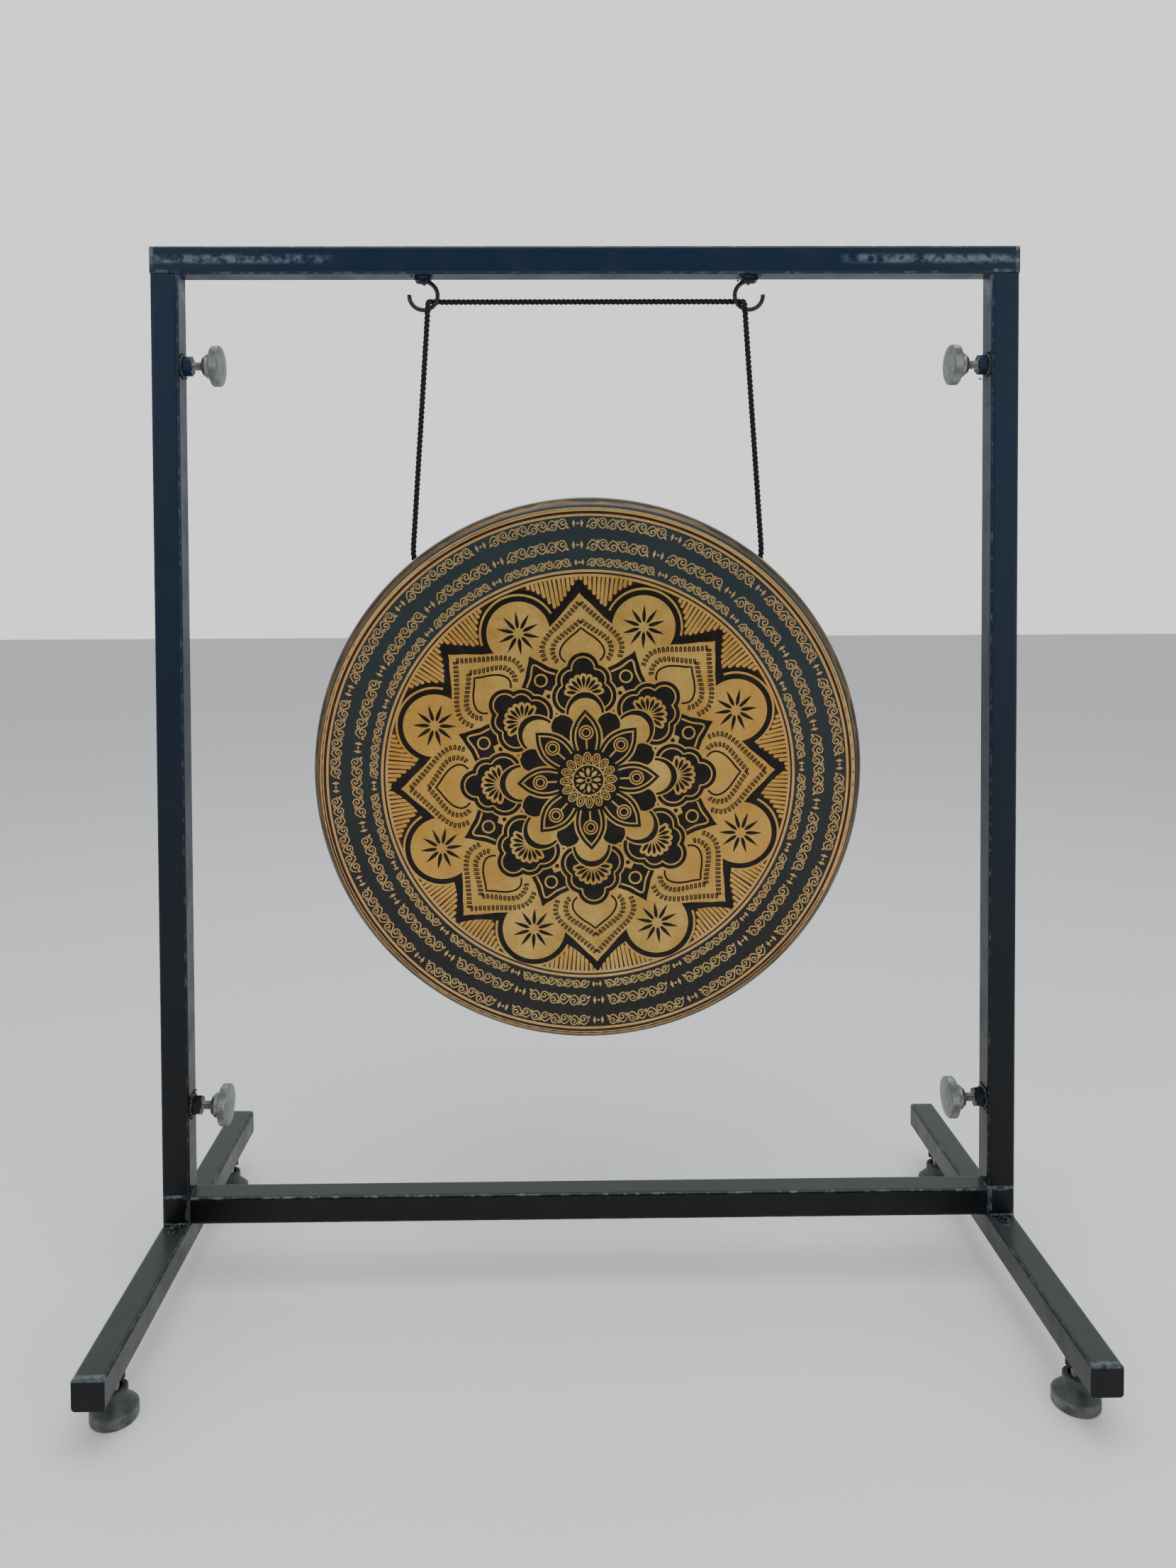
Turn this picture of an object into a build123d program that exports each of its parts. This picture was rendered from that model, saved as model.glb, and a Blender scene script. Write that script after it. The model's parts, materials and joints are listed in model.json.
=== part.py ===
from build123d import *
from math import atan2, cos, degrees, radians, sin, sqrt, tan
import os

# A tam tam gong on its knock-down stand, in millimetres.
# +X is the player's right, +Y the back, +Z up; the origin is on the floor under the middle of the stand.

# ---- Driving dimensions -------------------------------------------------------------------------

# Stand, welded from square steel tube
stand_width = 780.0
column_length = 835.0
leg_length = 425.0
foot_height = 40.0
tube = 25.0
tube_wall = 2.0
tube_corner = 3.0
end_plate = 2.0

# Spigots that plug the beam and the base into the columns
spigot_length = 110.0
spigot_clearance = 0.5
spigot_wall = 2.0
spigot_corner = 1.5

# Screws and their welded nuts
stud_radius = 4.0
thread_clearance = 0.05
hole_clearance = 0.5
nut_flats = 15.5
nut_thickness = 9.0
screw_from_column_end = 80.0
screw_tip_gap = 0.25

# Knurled knob of a thumb screw, measured from the column's inner face
knob_standoff = 18.5
knob_bore_depth = 12.3
knob_bore_end_gap = 0.3
collar_length = 8.2
collar_radius = 11.0
collar_neck_radius = 8.0
collar_slope = 3.0
collar_taper = 0.8
knob_radius = 18.2
knob_thickness = 8.0
knob_crown = 1.6
knob_edge = 1.2

# Levelling foot
foot_from_leg_end = 50.0
pad_radius = 18.6
pad_edge = 1.0
pad_rim_height = 9.0
pad_shoulder_height = 16.0
pad_fillet = 1.5
pad_boss_radius = 10.5
pad_boss_height = 24.0
pad_recess_radius = 6.5
pad_recess_depth = 2.5
pad_floor = 6.0
foot_stud_top = 58.0

# Ring hooks under the beam
hook_spacing = 295.0
hook_ring_radius = 12.8
hook_wire_radius = 2.0
hook_gap = 2.0
hook_start_angle = 111.0
hook_sweep = 294.0
hook_pad_length = 14.0
hook_pad_width = 12.0
hook_pad_height = 4.5

# Cord: insets run from a ring's middle towards the gong, rises from where the cord lies on the wire
cord_radius = 2.5
cord_hook_gap = 0.3
cord_joint_gap = 0.3
cord_hang_inset = 4.2
cord_over_inset = 4.7
cord_behind_inset = 6.5
cord_over_rise = 1.9
cord_behind_rise = 3.8
swing_axis_gap = 2.9
cord_drop = 219.5

# Gong, one spun sheet with a turned-back rim
gong_radius = 250.0
gong_wall = 2.0
gong_depth = 48.0
gong_crown = 5.0
gong_shoulder = 12.0
gong_rim_taper = 4.0
cord_hole_angle = 51.0
cord_hole_depth = 16.0
cord_hole_radius = 4.0
cord_mouth_gap = 2.0
knot_radius = 5.5
knot_gap = 0.3

# ---- Levels and places that follow from them ------------------------------------------------------

leg_bottom = foot_height
leg_top = leg_bottom + tube
column_bottom = leg_top + tube
beam_bottom = column_bottom + column_length
column_x = stand_width / 2 - tube / 2
column_face_x = column_x - tube / 2
bore = tube - 2 * tube_wall
spigot = bore - 2 * spigot_clearance
foot_y = leg_length / 2 - foot_from_leg_end
hook_x = hook_spacing / 2
hook_z = beam_bottom - hook_gap - hook_wire_radius - hook_ring_radius
cord_y = -(hook_wire_radius + cord_radius + cord_hook_gap)
cord_rest_z = hook_z - hook_ring_radius + hook_wire_radius + cord_radius
swing_z = hook_z - hook_ring_radius - hook_wire_radius - swing_axis_gap
tilt_z = swing_z - cord_drop
sides = {"left": -1, "right": 1}
screw_heights = {
    "upper": beam_bottom - screw_from_column_end,
    "lower": column_bottom + screw_from_column_end,
}


# ---- Shapes used more than once -------------------------------------------------------------------

def square_tube(size, wall, corner, length):
    """A square tube with rounded corners, standing on the XY plane."""
    outer = RectangleRounded(size, size, corner)
    inner_size = size - 2 * wall
    inner = RectangleRounded(inner_size, inner_size, max(corner - wall, 0.5))
    return extrude(outer - inner, length)


def plate(size, corner, thickness):
    """A flat plate of a tube's outline, lying on the XY plane."""
    return extrude(RectangleRounded(size, size, corner), thickness)


def weld_nut():
    """A hexagon nut standing on the XY plane, bored for the stud."""
    hexagon = RegularPolygon(nut_flats / 2, 6, major_radius=False)
    return extrude(hexagon - Circle(stud_radius + thread_clearance), nut_thickness)


def turned(points):
    """A solid turned about Z from an outline of (radius, height) points."""
    outline = Polyline([(r, 0, z) for r, z in points], close=True)
    return revolve(make_face(outline), Axis.Z)


def rounded_rod(start, end, radius):
    """A round rod between two points, with a ball on each end."""
    run = Vector(*end) - Vector(*start)
    rod = Solid.make_cylinder(radius, run.length, Plane(start, z_dir=run))
    return rod + Pos(*start) * Sphere(radius) + Pos(*end) * Sphere(radius)


# ---- Stand: base, columns and beam ----------------------------------------------------------------

def leg(side):
    length = leg_length - 2 * end_plate
    part = Rot(X=90) * square_tube(tube, tube_wall, tube_corner, length)
    part = Pos(side * column_x, length / 2, leg_bottom + tube / 2) * part
    for y in (-foot_y, foot_y):
        part -= Pos(side * column_x, y, leg_bottom) * Cylinder(stud_radius + hole_clearance, 3 * tube_wall)
    return part


def leg_end_plates():
    """The four plates welded over the legs' ends."""
    shape = Rot(X=90) * plate(tube, tube_corner, end_plate)
    ends = (end_plate - leg_length / 2, leg_length / 2)
    places = [(side * column_x, y) for side in sides.values() for y in ends]
    return [Pos(x, y, leg_bottom + tube / 2) * shape for x, y in places]


def crossbar():
    length = stand_width - 2 * tube
    part = Rot(Y=90) * square_tube(tube, tube_wall, tube_corner, length)
    return Pos(-length / 2, 0, leg_top + tube / 2) * part


def corner_block(side):
    """A short upright piece of tube on the leg, which the crossbar butts against."""
    return Pos(side * column_x, 0, leg_top) * square_tube(tube, tube_wall, tube_corner, tube)


def base_spigot(side):
    length = tube + spigot_length
    return Pos(side * column_x, 0, leg_top) * square_tube(spigot, spigot_wall, spigot_corner, length)


def column(side):
    part = Pos(side * column_x, 0, column_bottom) * square_tube(tube, tube_wall, tube_corner, column_length)
    for z in screw_heights.values():
        hole = Cylinder(stud_radius + hole_clearance, 3 * tube_wall)
        part -= Pos(side * column_face_x, 0, z) * Rot(Y=90) * hole
    return part


def top_beam():
    length = stand_width - 2 * end_plate
    part = Rot(Y=90) * square_tube(tube, tube_wall, tube_corner, length)
    return Pos(-length / 2, 0, beam_bottom + tube / 2) * part


def beam_end_plates():
    shape = Rot(Y=90) * plate(tube, tube_corner, end_plate)
    starts = (-stand_width / 2, stand_width / 2 - end_plate)
    return [Pos(x, 0, beam_bottom + tube / 2) * shape for x in starts]


def top_spigot(side):
    z = beam_bottom - spigot_length
    return Pos(side * column_x, 0, z) * square_tube(spigot, spigot_wall, spigot_corner, spigot_length)


# ---- Ring hooks -----------------------------------------------------------------------------------

def ring(side, sweep_angle, start_angle):
    """Round wire bent to a ring in the XZ plane, open on the side away from the gong."""
    wire = Pos(hook_ring_radius, 0, 0) * Circle(hook_wire_radius)
    bent = revolve(wire, Axis.Y, sweep_angle)
    part = Rot(Y=-start_angle) * bent
    if side > 0:
        part = mirror(part, Plane.YZ)
    return Pos(side * hook_x, 0, hook_z) * part


def hook(side):
    return ring(side, hook_sweep, hook_start_angle)


def hook_pad(side):
    """The pad between beam and ring, grooved to the ring it is welded to."""
    block = Box(hook_pad_length, hook_pad_width, hook_pad_height)
    block = Pos(side * hook_x, 0, beam_bottom - hook_pad_height / 2) * block
    return block - ring(side, 360, 0)


# ---- Thumb screws and levelling feet --------------------------------------------------------------

def facing_in(side, z):
    """The place on a column's inner face, with Z pointing at the middle of the stand."""
    return Pos(side * column_face_x, 0, z) * Rot(Y=-90 * side)


def screw_nut(side, z):
    return facing_in(side, z) * weld_nut()


def screw_stud(side, z):
    """The threaded rod, from just short of the spigot to the bottom of the knob's bore."""
    reach = (tube - spigot) / 2 - screw_tip_gap
    end = knob_standoff + knob_bore_depth - knob_bore_end_gap
    rod = Solid.make_cylinder(stud_radius, reach + end)
    return facing_in(side, z) * Pos(0, 0, -reach) * rod


def screw_knob(side, z):
    """The turned head: a collar, a disc and a slightly crowned face."""
    top = collar_length + knob_thickness
    flat = knob_radius - knob_edge
    hole = stud_radius + thread_clearance
    outline = [
        (hole, 0),
        (collar_neck_radius, 0),
        (collar_radius - collar_taper, collar_slope),
        (collar_radius, collar_length),
        (flat, collar_length),
        (knob_radius, collar_length + knob_edge),
        (knob_radius, top - knob_edge),
        (flat, top),
        (flat / 2, top + 0.75 * knob_crown),
        (0, top + knob_crown),
        (0, knob_bore_depth),
        (hole, knob_bore_depth),
    ]
    return facing_in(side, z) * Pos(0, 0, knob_standoff) * turned(outline)


def foot_nut(side, y):
    return Pos(side * column_x, y, leg_bottom - nut_thickness) * weld_nut()


def foot_stud(side, y):
    bottom = pad_floor + knob_bore_end_gap
    return Pos(side * column_x, y, bottom) * Solid.make_cylinder(stud_radius, foot_stud_top - bottom)


def foot_pad(side, y):
    """The round pad: an upright rim, a sloping shoulder and a boss recessed round the stud."""
    hole = stud_radius + thread_clearance
    recess = pad_boss_height - pad_recess_depth
    outline = [
        (0, 0),
        (pad_radius - pad_edge, 0),
        (pad_radius, pad_edge),
        (pad_radius, pad_rim_height - pad_edge),
        (pad_radius - pad_edge, pad_rim_height),
        (pad_boss_radius + pad_fillet, pad_shoulder_height - pad_fillet),
        (pad_boss_radius, pad_shoulder_height),
        (pad_boss_radius, pad_boss_height - pad_edge),
        (pad_boss_radius - pad_edge, pad_boss_height),
        (pad_recess_radius, pad_boss_height),
        (pad_recess_radius, recess),
        (hole, recess),
        (hole, pad_floor),
        (0, pad_floor),
    ]
    return Pos(side * column_x, y, 0) * turned(outline)


# ---- Gong, its cord and the knots -----------------------------------------------------------------

def gong_profile():
    """Half the gong's section: x is the radius, z the depth behind the front of the rim."""
    face_r = gong_radius - gong_shoulder
    back_r = gong_radius - gong_rim_taper
    bend = gong_shoulder * (1 - sin(radians(45)))
    inner_bend = gong_wall + (gong_shoulder - gong_wall) * (1 - sin(radians(45)))
    mid_r = face_r / 2
    ball = (face_r**2 + gong_crown**2) / (2 * gong_crown)
    dip = gong_crown - ball + sqrt(ball**2 - mid_r**2)
    outer = [
        ThreePointArc((0, 0, -gong_crown), (mid_r, 0, -dip), (face_r, 0, 0)),
        ThreePointArc((face_r, 0, 0), (gong_radius - bend, 0, bend), (gong_radius, 0, gong_shoulder)),
        Line((gong_radius, 0, gong_shoulder), (back_r, 0, gong_depth)),
        Line((back_r, 0, gong_depth), (back_r - gong_wall, 0, gong_depth)),
    ]
    inner = [
        Line((back_r - gong_wall, 0, gong_depth), (gong_radius - gong_wall, 0, gong_shoulder)),
        ThreePointArc(
            (gong_radius - gong_wall, 0, gong_shoulder),
            (gong_radius - inner_bend, 0, inner_bend),
            (face_r, 0, gong_wall),
        ),
        ThreePointArc((face_r, 0, gong_wall), (mid_r, 0, gong_wall - dip), (0, 0, gong_wall - gong_crown)),
        Line((0, 0, gong_wall - gong_crown), (0, 0, -gong_crown)),
    ]
    return make_face(outer + inner)


def rim_radius_at(depth):
    """The rim's outer radius at a depth behind its front."""
    return gong_radius - gong_rim_taper * (depth - gong_shoulder) / (gong_depth - gong_shoulder)


def on_rim(side, reach):
    """A point on a cord hole's own axis, before the gong is hung: reach is the distance from the centre."""
    angle = radians(cord_hole_angle)
    return Vector(side * reach * cos(angle), cord_hole_depth, reach * sin(angle))


def flat_gong():
    """The gong before it is hung: its axis along Y, its centre at the origin."""
    part = Rot(X=-90) * revolve(gong_profile(), Axis.Z)
    for side in sides.values():
        direction = Vector(side * cos(radians(cord_hole_angle)), 0, sin(radians(cord_hole_angle)))
        drill = Solid.make_cylinder(cord_hole_radius, 4 * gong_shoulder)
        part -= Plane(on_rim(side, gong_radius - 2 * gong_shoulder), z_dir=direction) * drill
    return part


rim_at_hole = rim_radius_at(cord_hole_depth)
pivot = on_rim(1, rim_at_hole + cord_mouth_gap)
knot_reach = rim_at_hole + cord_mouth_gap - cord_radius - knot_gap - knot_radius
gong_blank = flat_gong()
balance = gong_blank.center(CenterOf.MASS)
# The gong hangs from its two holes, so it leans until its centre of mass is straight below them.
gong_lean = degrees(atan2(pivot.Y - balance.Y, pivot.Z - balance.Z))
hang = Pos(0, cord_y, tilt_z) * Rot(X=gong_lean) * Pos(0, -pivot.Y, -pivot.Z)
cord_mouth_x = pivot.X


def knot(side):
    """The stopper knot inside the rim, too big for its hole."""
    return hang * Pos(*on_rim(side, knot_reach)) * Sphere(knot_radius)


def drop_cord(side):
    """The straight length from under the hook to the mouth of the gong's hole."""
    top = (side * (hook_x - cord_hang_inset), cord_y, swing_z)
    return rounded_rod(top, (side * cord_mouth_x, cord_y, tilt_z), cord_radius)


def cord_top_route():
    """Up in front of the left ring, over its wire, behind it, straight across, and the same at the right."""
    stub = swing_z + cord_radius + cord_joint_gap
    left = [
        (-(hook_x - cord_hang_inset), cord_y, stub),
        (-(hook_x - cord_over_inset), cord_y, cord_rest_z + cord_over_rise),
        (-(hook_x - cord_behind_inset), -cord_y, cord_rest_z + cord_behind_rise),
    ]
    return left + [(-x, y, z) for x, y, z in reversed(left)]


def cord_top():
    """The cord between the hooks; every bend is as tight as the ring's wire makes it."""
    points = [Vector(*p) for p in cord_top_route()]
    radii = []
    for before, corner, after in zip(points, points[1:], points[2:]):
        run_in, run_out = corner - before, after - corner
        turn = radians(run_in.get_angle(run_out))
        radii.append(0.45 * min(run_in.length, run_out.length) / tan(turn / 2))
    path = FilletPolyline(*points, radius=radii)
    print("cord_top radii", [round(r, 2) for r in radii], "length", round(path.length, 1))
    return sweep(Plane(path @ 0, z_dir=path % 0) * Circle(cord_radius), path)


# ---- Every node, in the order the stand goes together ---------------------------------------------

nodes = {}
for name, side in sides.items():
    nodes[f"{name}_leg"] = leg(side)
    nodes[f"{name}_corner_block"] = corner_block(side)
    nodes[f"{name}_base_spigot"] = base_spigot(side)
    nodes[f"{name}_column"] = column(side)
    nodes[f"{name}_top_spigot"] = top_spigot(side)
    nodes[f"{name}_hook"] = hook(side)
    nodes[f"{name}_hook_pad"] = hook_pad(side)
    nodes[f"{name}_cord_drop"] = drop_cord(side)
    nodes[f"{name}_knot"] = knot(side)
    for level, z in screw_heights.items():
        nodes[f"{level}_{name}_screw_nut"] = screw_nut(side, z)
        nodes[f"{level}_{name}_screw_stud"] = screw_stud(side, z)
        nodes[f"{level}_{name}_screw_knob"] = screw_knob(side, z)
    for end, y in {"front": -foot_y, "rear": foot_y}.items():
        nodes[f"{end}_{name}_foot_nut"] = foot_nut(side, y)
        nodes[f"{end}_{name}_foot_stud"] = foot_stud(side, y)
        nodes[f"{end}_{name}_foot_pad"] = foot_pad(side, y)
nodes["leg_end_plates"] = Compound(leg_end_plates())
nodes["crossbar"] = crossbar()
nodes["top_beam"] = top_beam()
nodes["beam_end_plates"] = Compound(beam_end_plates())
nodes["cord_top"] = cord_top()
nodes["gong"] = hang * gong_blank

if __name__ == "__main__":
    os.makedirs("parts", exist_ok=True)
    for name, shape in nodes.items():
        export_step(shape, f"parts/{name}.step")
    print(len(nodes), "nodes; the gong leans", round(gong_lean, 3), "degrees")
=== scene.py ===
import json
import math

import bpy
import numpy as np
from mathutils import Matrix, Vector

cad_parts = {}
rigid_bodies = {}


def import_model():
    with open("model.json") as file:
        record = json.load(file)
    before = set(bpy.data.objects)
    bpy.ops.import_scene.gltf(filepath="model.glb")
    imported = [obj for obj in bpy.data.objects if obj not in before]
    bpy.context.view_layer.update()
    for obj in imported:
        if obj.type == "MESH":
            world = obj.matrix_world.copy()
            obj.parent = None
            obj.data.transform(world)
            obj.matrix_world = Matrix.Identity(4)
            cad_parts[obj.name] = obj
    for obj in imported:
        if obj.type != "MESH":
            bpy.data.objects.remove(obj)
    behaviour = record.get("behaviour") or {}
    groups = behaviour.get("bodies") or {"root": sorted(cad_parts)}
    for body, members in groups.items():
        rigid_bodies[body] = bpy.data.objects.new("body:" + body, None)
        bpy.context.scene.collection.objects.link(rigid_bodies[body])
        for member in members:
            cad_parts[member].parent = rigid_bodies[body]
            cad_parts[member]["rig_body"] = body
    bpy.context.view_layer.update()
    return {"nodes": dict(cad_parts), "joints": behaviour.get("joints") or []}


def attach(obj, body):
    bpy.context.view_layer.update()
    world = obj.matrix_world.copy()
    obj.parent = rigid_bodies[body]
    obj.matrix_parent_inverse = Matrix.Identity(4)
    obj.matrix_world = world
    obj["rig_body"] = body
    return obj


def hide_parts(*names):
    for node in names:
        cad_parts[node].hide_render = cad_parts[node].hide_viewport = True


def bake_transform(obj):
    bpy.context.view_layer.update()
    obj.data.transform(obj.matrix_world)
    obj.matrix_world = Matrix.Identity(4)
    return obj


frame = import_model()

# ---- Room -------------------------------------------------------------------------------------------
# A pale studio: a level floor, a bright surround that is darker behind the viewer, and three soft lamps.
# None of it belongs to the gong. The camera is left of the middle, a metre off, looking slightly down.


def settle(node, **values):
    """Plain values for a node's inputs; a name's underscores stand for spaces."""
    for label, value in values.items():
        node.inputs[label.replace("_", " ")].default_value = value


def join(tree, *pairs):
    """Links in a node tree, each from an output to an input."""
    for giver, taker in pairs:
        tree.links.new(giver, taker)


pale = bpy.data.materials.new("pale_floor")
pale.use_nodes = True
settle(pale.node_tree.nodes["Principled BSDF"], Base_Color=(0.90, 0.90, 0.89, 1), Roughness=0.9)
floor_reach = 12.0
floor_mesh = bpy.data.meshes.new("floor")
corners = [(-1, -1), (1, -1), (1, 1), (-1, 1)]
floor_mesh.from_pydata([(x * floor_reach, y * floor_reach, 0) for x, y in corners], [], [(0, 1, 2, 3)])
floor_mesh.materials.append(pale)
floor = bpy.data.objects.new("floor", floor_mesh)
bpy.context.scene.collection.objects.link(floor)

world = bpy.data.worlds.new("studio")
bpy.context.scene.world = world
world.use_nodes = True
sky = world.node_tree.nodes
backdrop = sky["Background"]
where, split, lift, surround, seen, ray, chosen = (
    sky.new(f"ShaderNode{kind}")
    for kind in ("TexCoord", "SeparateXYZ", "MapRange", "ValToRGB", "Background", "LightPath", "MixShader"))
dark_stop, bright_stop = surround.color_ramp.elements
dark_stop.position, dark_stop.color = 0.10, (0.06, 0.066, 0.075, 1)
bright_stop.position, bright_stop.color = 0.62, (1.0, 1.03, 1.06, 1)
settle(lift, From_Min=-1, From_Max=1)
settle(backdrop, Strength=0.8)
settle(seen, Color=(1, 1, 1, 1), Strength=1.25)
join(world.node_tree,
     (where.outputs["Generated"], split.inputs["Vector"]),
     (split.outputs["Y"], lift.inputs["Value"]),
     (lift.outputs["Result"], surround.inputs["Fac"]),
     (surround.outputs["Color"], backdrop.inputs["Color"]),
     (ray.outputs["Is Camera Ray"], chosen.inputs["Fac"]),
     (backdrop.outputs["Background"], chosen.inputs[1]),
     (seen.outputs["Background"], chosen.inputs[2]),
     (chosen.outputs["Shader"], sky["World Output"].inputs["Surface"]))


def lamp(name, size, power, colour, place, target):
    """A square area lamp of this size at a place, turned to face a target."""
    light = bpy.data.lights.new(name, "AREA")
    light.size, light.energy, light.color = size, power, colour
    holder = bpy.data.objects.new(name, light)
    holder.location = place
    holder.rotation_mode = "QUATERNION"
    holder.rotation_quaternion = (Vector(target) - Vector(place)).to_track_quat("-Z", "Y")
    bpy.context.scene.collection.objects.link(holder)


lamp("overhead", 2.2, 46, (0.93, 0.97, 1.0), (0.1, -0.7, 2.6), (0, 0, 0.7))
lamp("front_left", 1.4, 9, (1.0, 0.96, 0.90), (-1.7, -1.9, 1.4), (0, 0, 0.5))
lamp("front_right", 1.6, 10, (1.0, 0.97, 0.93), (1.8, -1.7, 1.0), (0, 0, 0.5))

eye = (-0.0352, -1.0437, 0.6508)
yaw, pitch, roll = -0.01314, -0.02578, 0.00454
camera = bpy.data.cameras.new("camera")
camera.sensor_width, camera.lens = 36, 26.27
camera.shift_x, camera.shift_y = 0.0152, -0.1114
camera_holder = bpy.data.objects.new("camera", camera)
facing = Matrix.Rotation(yaw, 4, "Z") @ Matrix.Rotation(pitch, 4, "X") @ Matrix.Rotation(roll, 4, "Y")
upright = Matrix.Rotation(math.pi / 2, 4, "X")
camera_holder.matrix_world = Matrix.Translation(eye) @ facing @ upright
bpy.context.scene.collection.objects.link(camera_holder)
bpy.context.scene.camera = camera_holder

# ---- Cord -------------------------------------------------------------------------------------------
# One length of black three-strand twisted cord, 5 mm thick, limp and slightly hairy. It is knotted inside
# the gong's rim, runs up through one ring hook, straight across behind the rings and down again. Its swing
# joint is just below the hooks.

joint_at = {j["name"]: np.array(j.get("pos_m", [0, 0, 0]), float) for j in frame["joints"]}
swing_at, tilt_at = joint_at["cord_swing"], joint_at["gong_tilt"]
sides = {"left": -1, "right": 1}
cord_radius, strand_pitch = 0.0025, 0.013
gong_radius, shoulder_depth, rim_taper = 0.250, 0.012, 0.004 / 0.036
gong_lean = math.radians(2.954)
hole_angle, hole_depth = math.radians(51), 0.016
pivot_reach = gong_radius - rim_taper * (hole_depth - shoulder_depth) + 0.002
stopper_reach, slack = 0.0055, 0.0003
knot_reach = pivot_reach - cord_radius - slack - stopper_reach


def hung(points):
    """Points of the gong's own frame moved to where it hangs: turned about X by its lean, then set on its
    tilt axis."""
    p = np.asarray(points, float) - [0, hole_depth, pivot_reach * math.sin(hole_angle)]
    c, s = math.cos(gong_lean), math.sin(gong_lean)
    turned = np.stack([p[..., 0], c * p[..., 1] - s * p[..., 2], s * p[..., 1] + c * p[..., 2]], -1)
    return turned + [0, tilt_at[1], tilt_at[2]]


def hole_point(side, reach):
    """A point on the axis of a rim hole, at a distance from the gong's middle."""
    return hung([side * reach * math.cos(hole_angle), hole_depth, reach * math.sin(hole_angle)])


def build(name, points, quads, triangles, body, material, slot, smooth=True):
    """A mesh from arrays of points, four-cornered faces and triangles, which rides on a body."""
    mesh = bpy.data.meshes.new(name)
    quads = np.asarray(quads, np.int32).reshape(-1, 4)
    triangles = np.asarray(triangles, np.int32).reshape(-1, 3)
    loops = np.concatenate([quads.ravel(), triangles.ravel()])
    starts = np.concatenate([np.arange(len(quads)) * 4, quads.size + np.arange(len(triangles)) * 3])
    mesh.vertices.add(len(points))
    mesh.vertices.foreach_set("co", np.asarray(points, np.float32).ravel())
    mesh.loops.add(len(loops))
    mesh.loops.foreach_set("vertex_index", loops)
    mesh.polygons.add(len(starts))
    mesh.polygons.foreach_set("loop_start", starts.astype(np.int32))
    mesh.polygons.foreach_set("use_smooth", np.full(len(starts), smooth))
    mesh.update(calc_edges=True)
    mesh.validate()
    mesh.materials.append(material)
    obj = bpy.data.objects.new(name, mesh)
    bpy.context.scene.collection.objects.link(obj)
    if body:
        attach(obj, body)
    return obj


def lattice(rows, columns, round_rows=False, round_columns=True):
    """Faces of a grid of rows by columns of points, wrapped round either way."""
    i = np.arange(rows if round_rows else rows - 1)[:, None]
    j = np.arange(columns if round_columns else columns - 1)[None, :]
    row, next_row, next_j = i * columns, (i + 1) % rows * columns, (j + 1) % columns
    return np.stack([row + j, row + next_j, next_row + next_j, next_row + j], -1).reshape(-1, 4)


def capped(grid):
    """A grid of rings closed with a point at the middle of its first and last ring, as points, quads and
    triangles."""
    rows, columns = grid.shape[:2]
    points = np.concatenate([grid.reshape(-1, 3), grid[:1].mean(1), grid[-1:].mean(1)])
    j = np.arange(columns)
    nxt = (j + 1) % columns
    last = (rows - 1) * columns
    first_cap = np.stack([nxt, j, np.full(columns, rows * columns)], -1)
    last_cap = np.stack([last + j, last + nxt, np.full(columns, rows * columns + 1)], -1)
    return points, lattice(rows, columns), np.concatenate([first_cap, last_cap])


def unit(vectors):
    """Vectors brought to length 1."""
    return vectors / np.linalg.norm(vectors, axis=-1, keepdims=True)


def rings_along(path, radius, angles, one, other):
    """Rings of points: path + radius(s, angle) * (cos(angle) * one + sin(angle) * other), where one and
    other are directions square to the path."""
    ring = np.cos(angles)[None, :, None] * one[:, None] + np.sin(angles)[None, :, None] * other[:, None]
    return path[:, None] + radius[..., None] * ring


def carried(path, radius, angles):
    """A round profile carried along an open path, its first direction kept from twisting: each is the one
    before it, made square to the path again."""
    along = unit(np.gradient(path, axis=0))
    one = np.zeros_like(path)
    start = np.array([0.0, 1.0, 0.0]) if abs(along[0, 1]) < 0.9 else np.array([1.0, 0.0, 0.0])
    one[0] = unit(start - along[0] * (start @ along[0]))
    for i in range(1, len(path)):
        one[i] = unit(one[i - 1] - along[i] * (one[i - 1] @ along[i]))
    return rings_along(path, radius, angles, one, np.cross(along, one))


def principled(name, colour, roughness, metallic=0.0):
    """A material of its own with a Principled shader: the material, its tree and its shader."""
    material = bpy.data.materials.new(name)
    material.use_nodes = True
    shader = material.node_tree.nodes["Principled BSDF"]
    settle(shader, Base_Color=(*colour, 1), Roughness=roughness, Metallic=metallic)
    return material, material.node_tree, shader


def own_place(tree):
    """A piece's own Object coordinates."""
    return tree.nodes.new("ShaderNodeTexCoord").outputs["Object"]


def make_group(name, inputs, outputs):
    """An empty shader group with a Vector, float inputs with their values, and named float outputs."""
    group = bpy.data.node_groups.new(name, "ShaderNodeTree")
    group.interface.new_socket("Vector", in_out="INPUT", socket_type="NodeSocketVector")
    for label, value in inputs.items():
        socket = group.interface.new_socket(label, in_out="INPUT", socket_type="NodeSocketFloat")
        socket.default_value = value
    for label in outputs:
        group.interface.new_socket(label, in_out="OUTPUT", socket_type="NodeSocketFloat")
    return group, group.nodes.new("NodeGroupInput").outputs, group.nodes.new("NodeGroupOutput").inputs


def math_node(tree, operation, a, b=None):
    """A Math node; each operand is a socket or a number. Returns its output."""
    node = tree.nodes.new("ShaderNodeMath")
    node.operation = operation
    for socket, value in zip(node.inputs, (a, b)):
        if isinstance(value, (int, float)):
            socket.default_value = value
        elif value is not None:
            tree.links.new(value, socket)
    return node.outputs[0]


def times(tree, first, *others):
    """The product of sockets and numbers."""
    for factor in others:
        first = math_node(tree, "MULTIPLY", first, factor)
    return first


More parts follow.
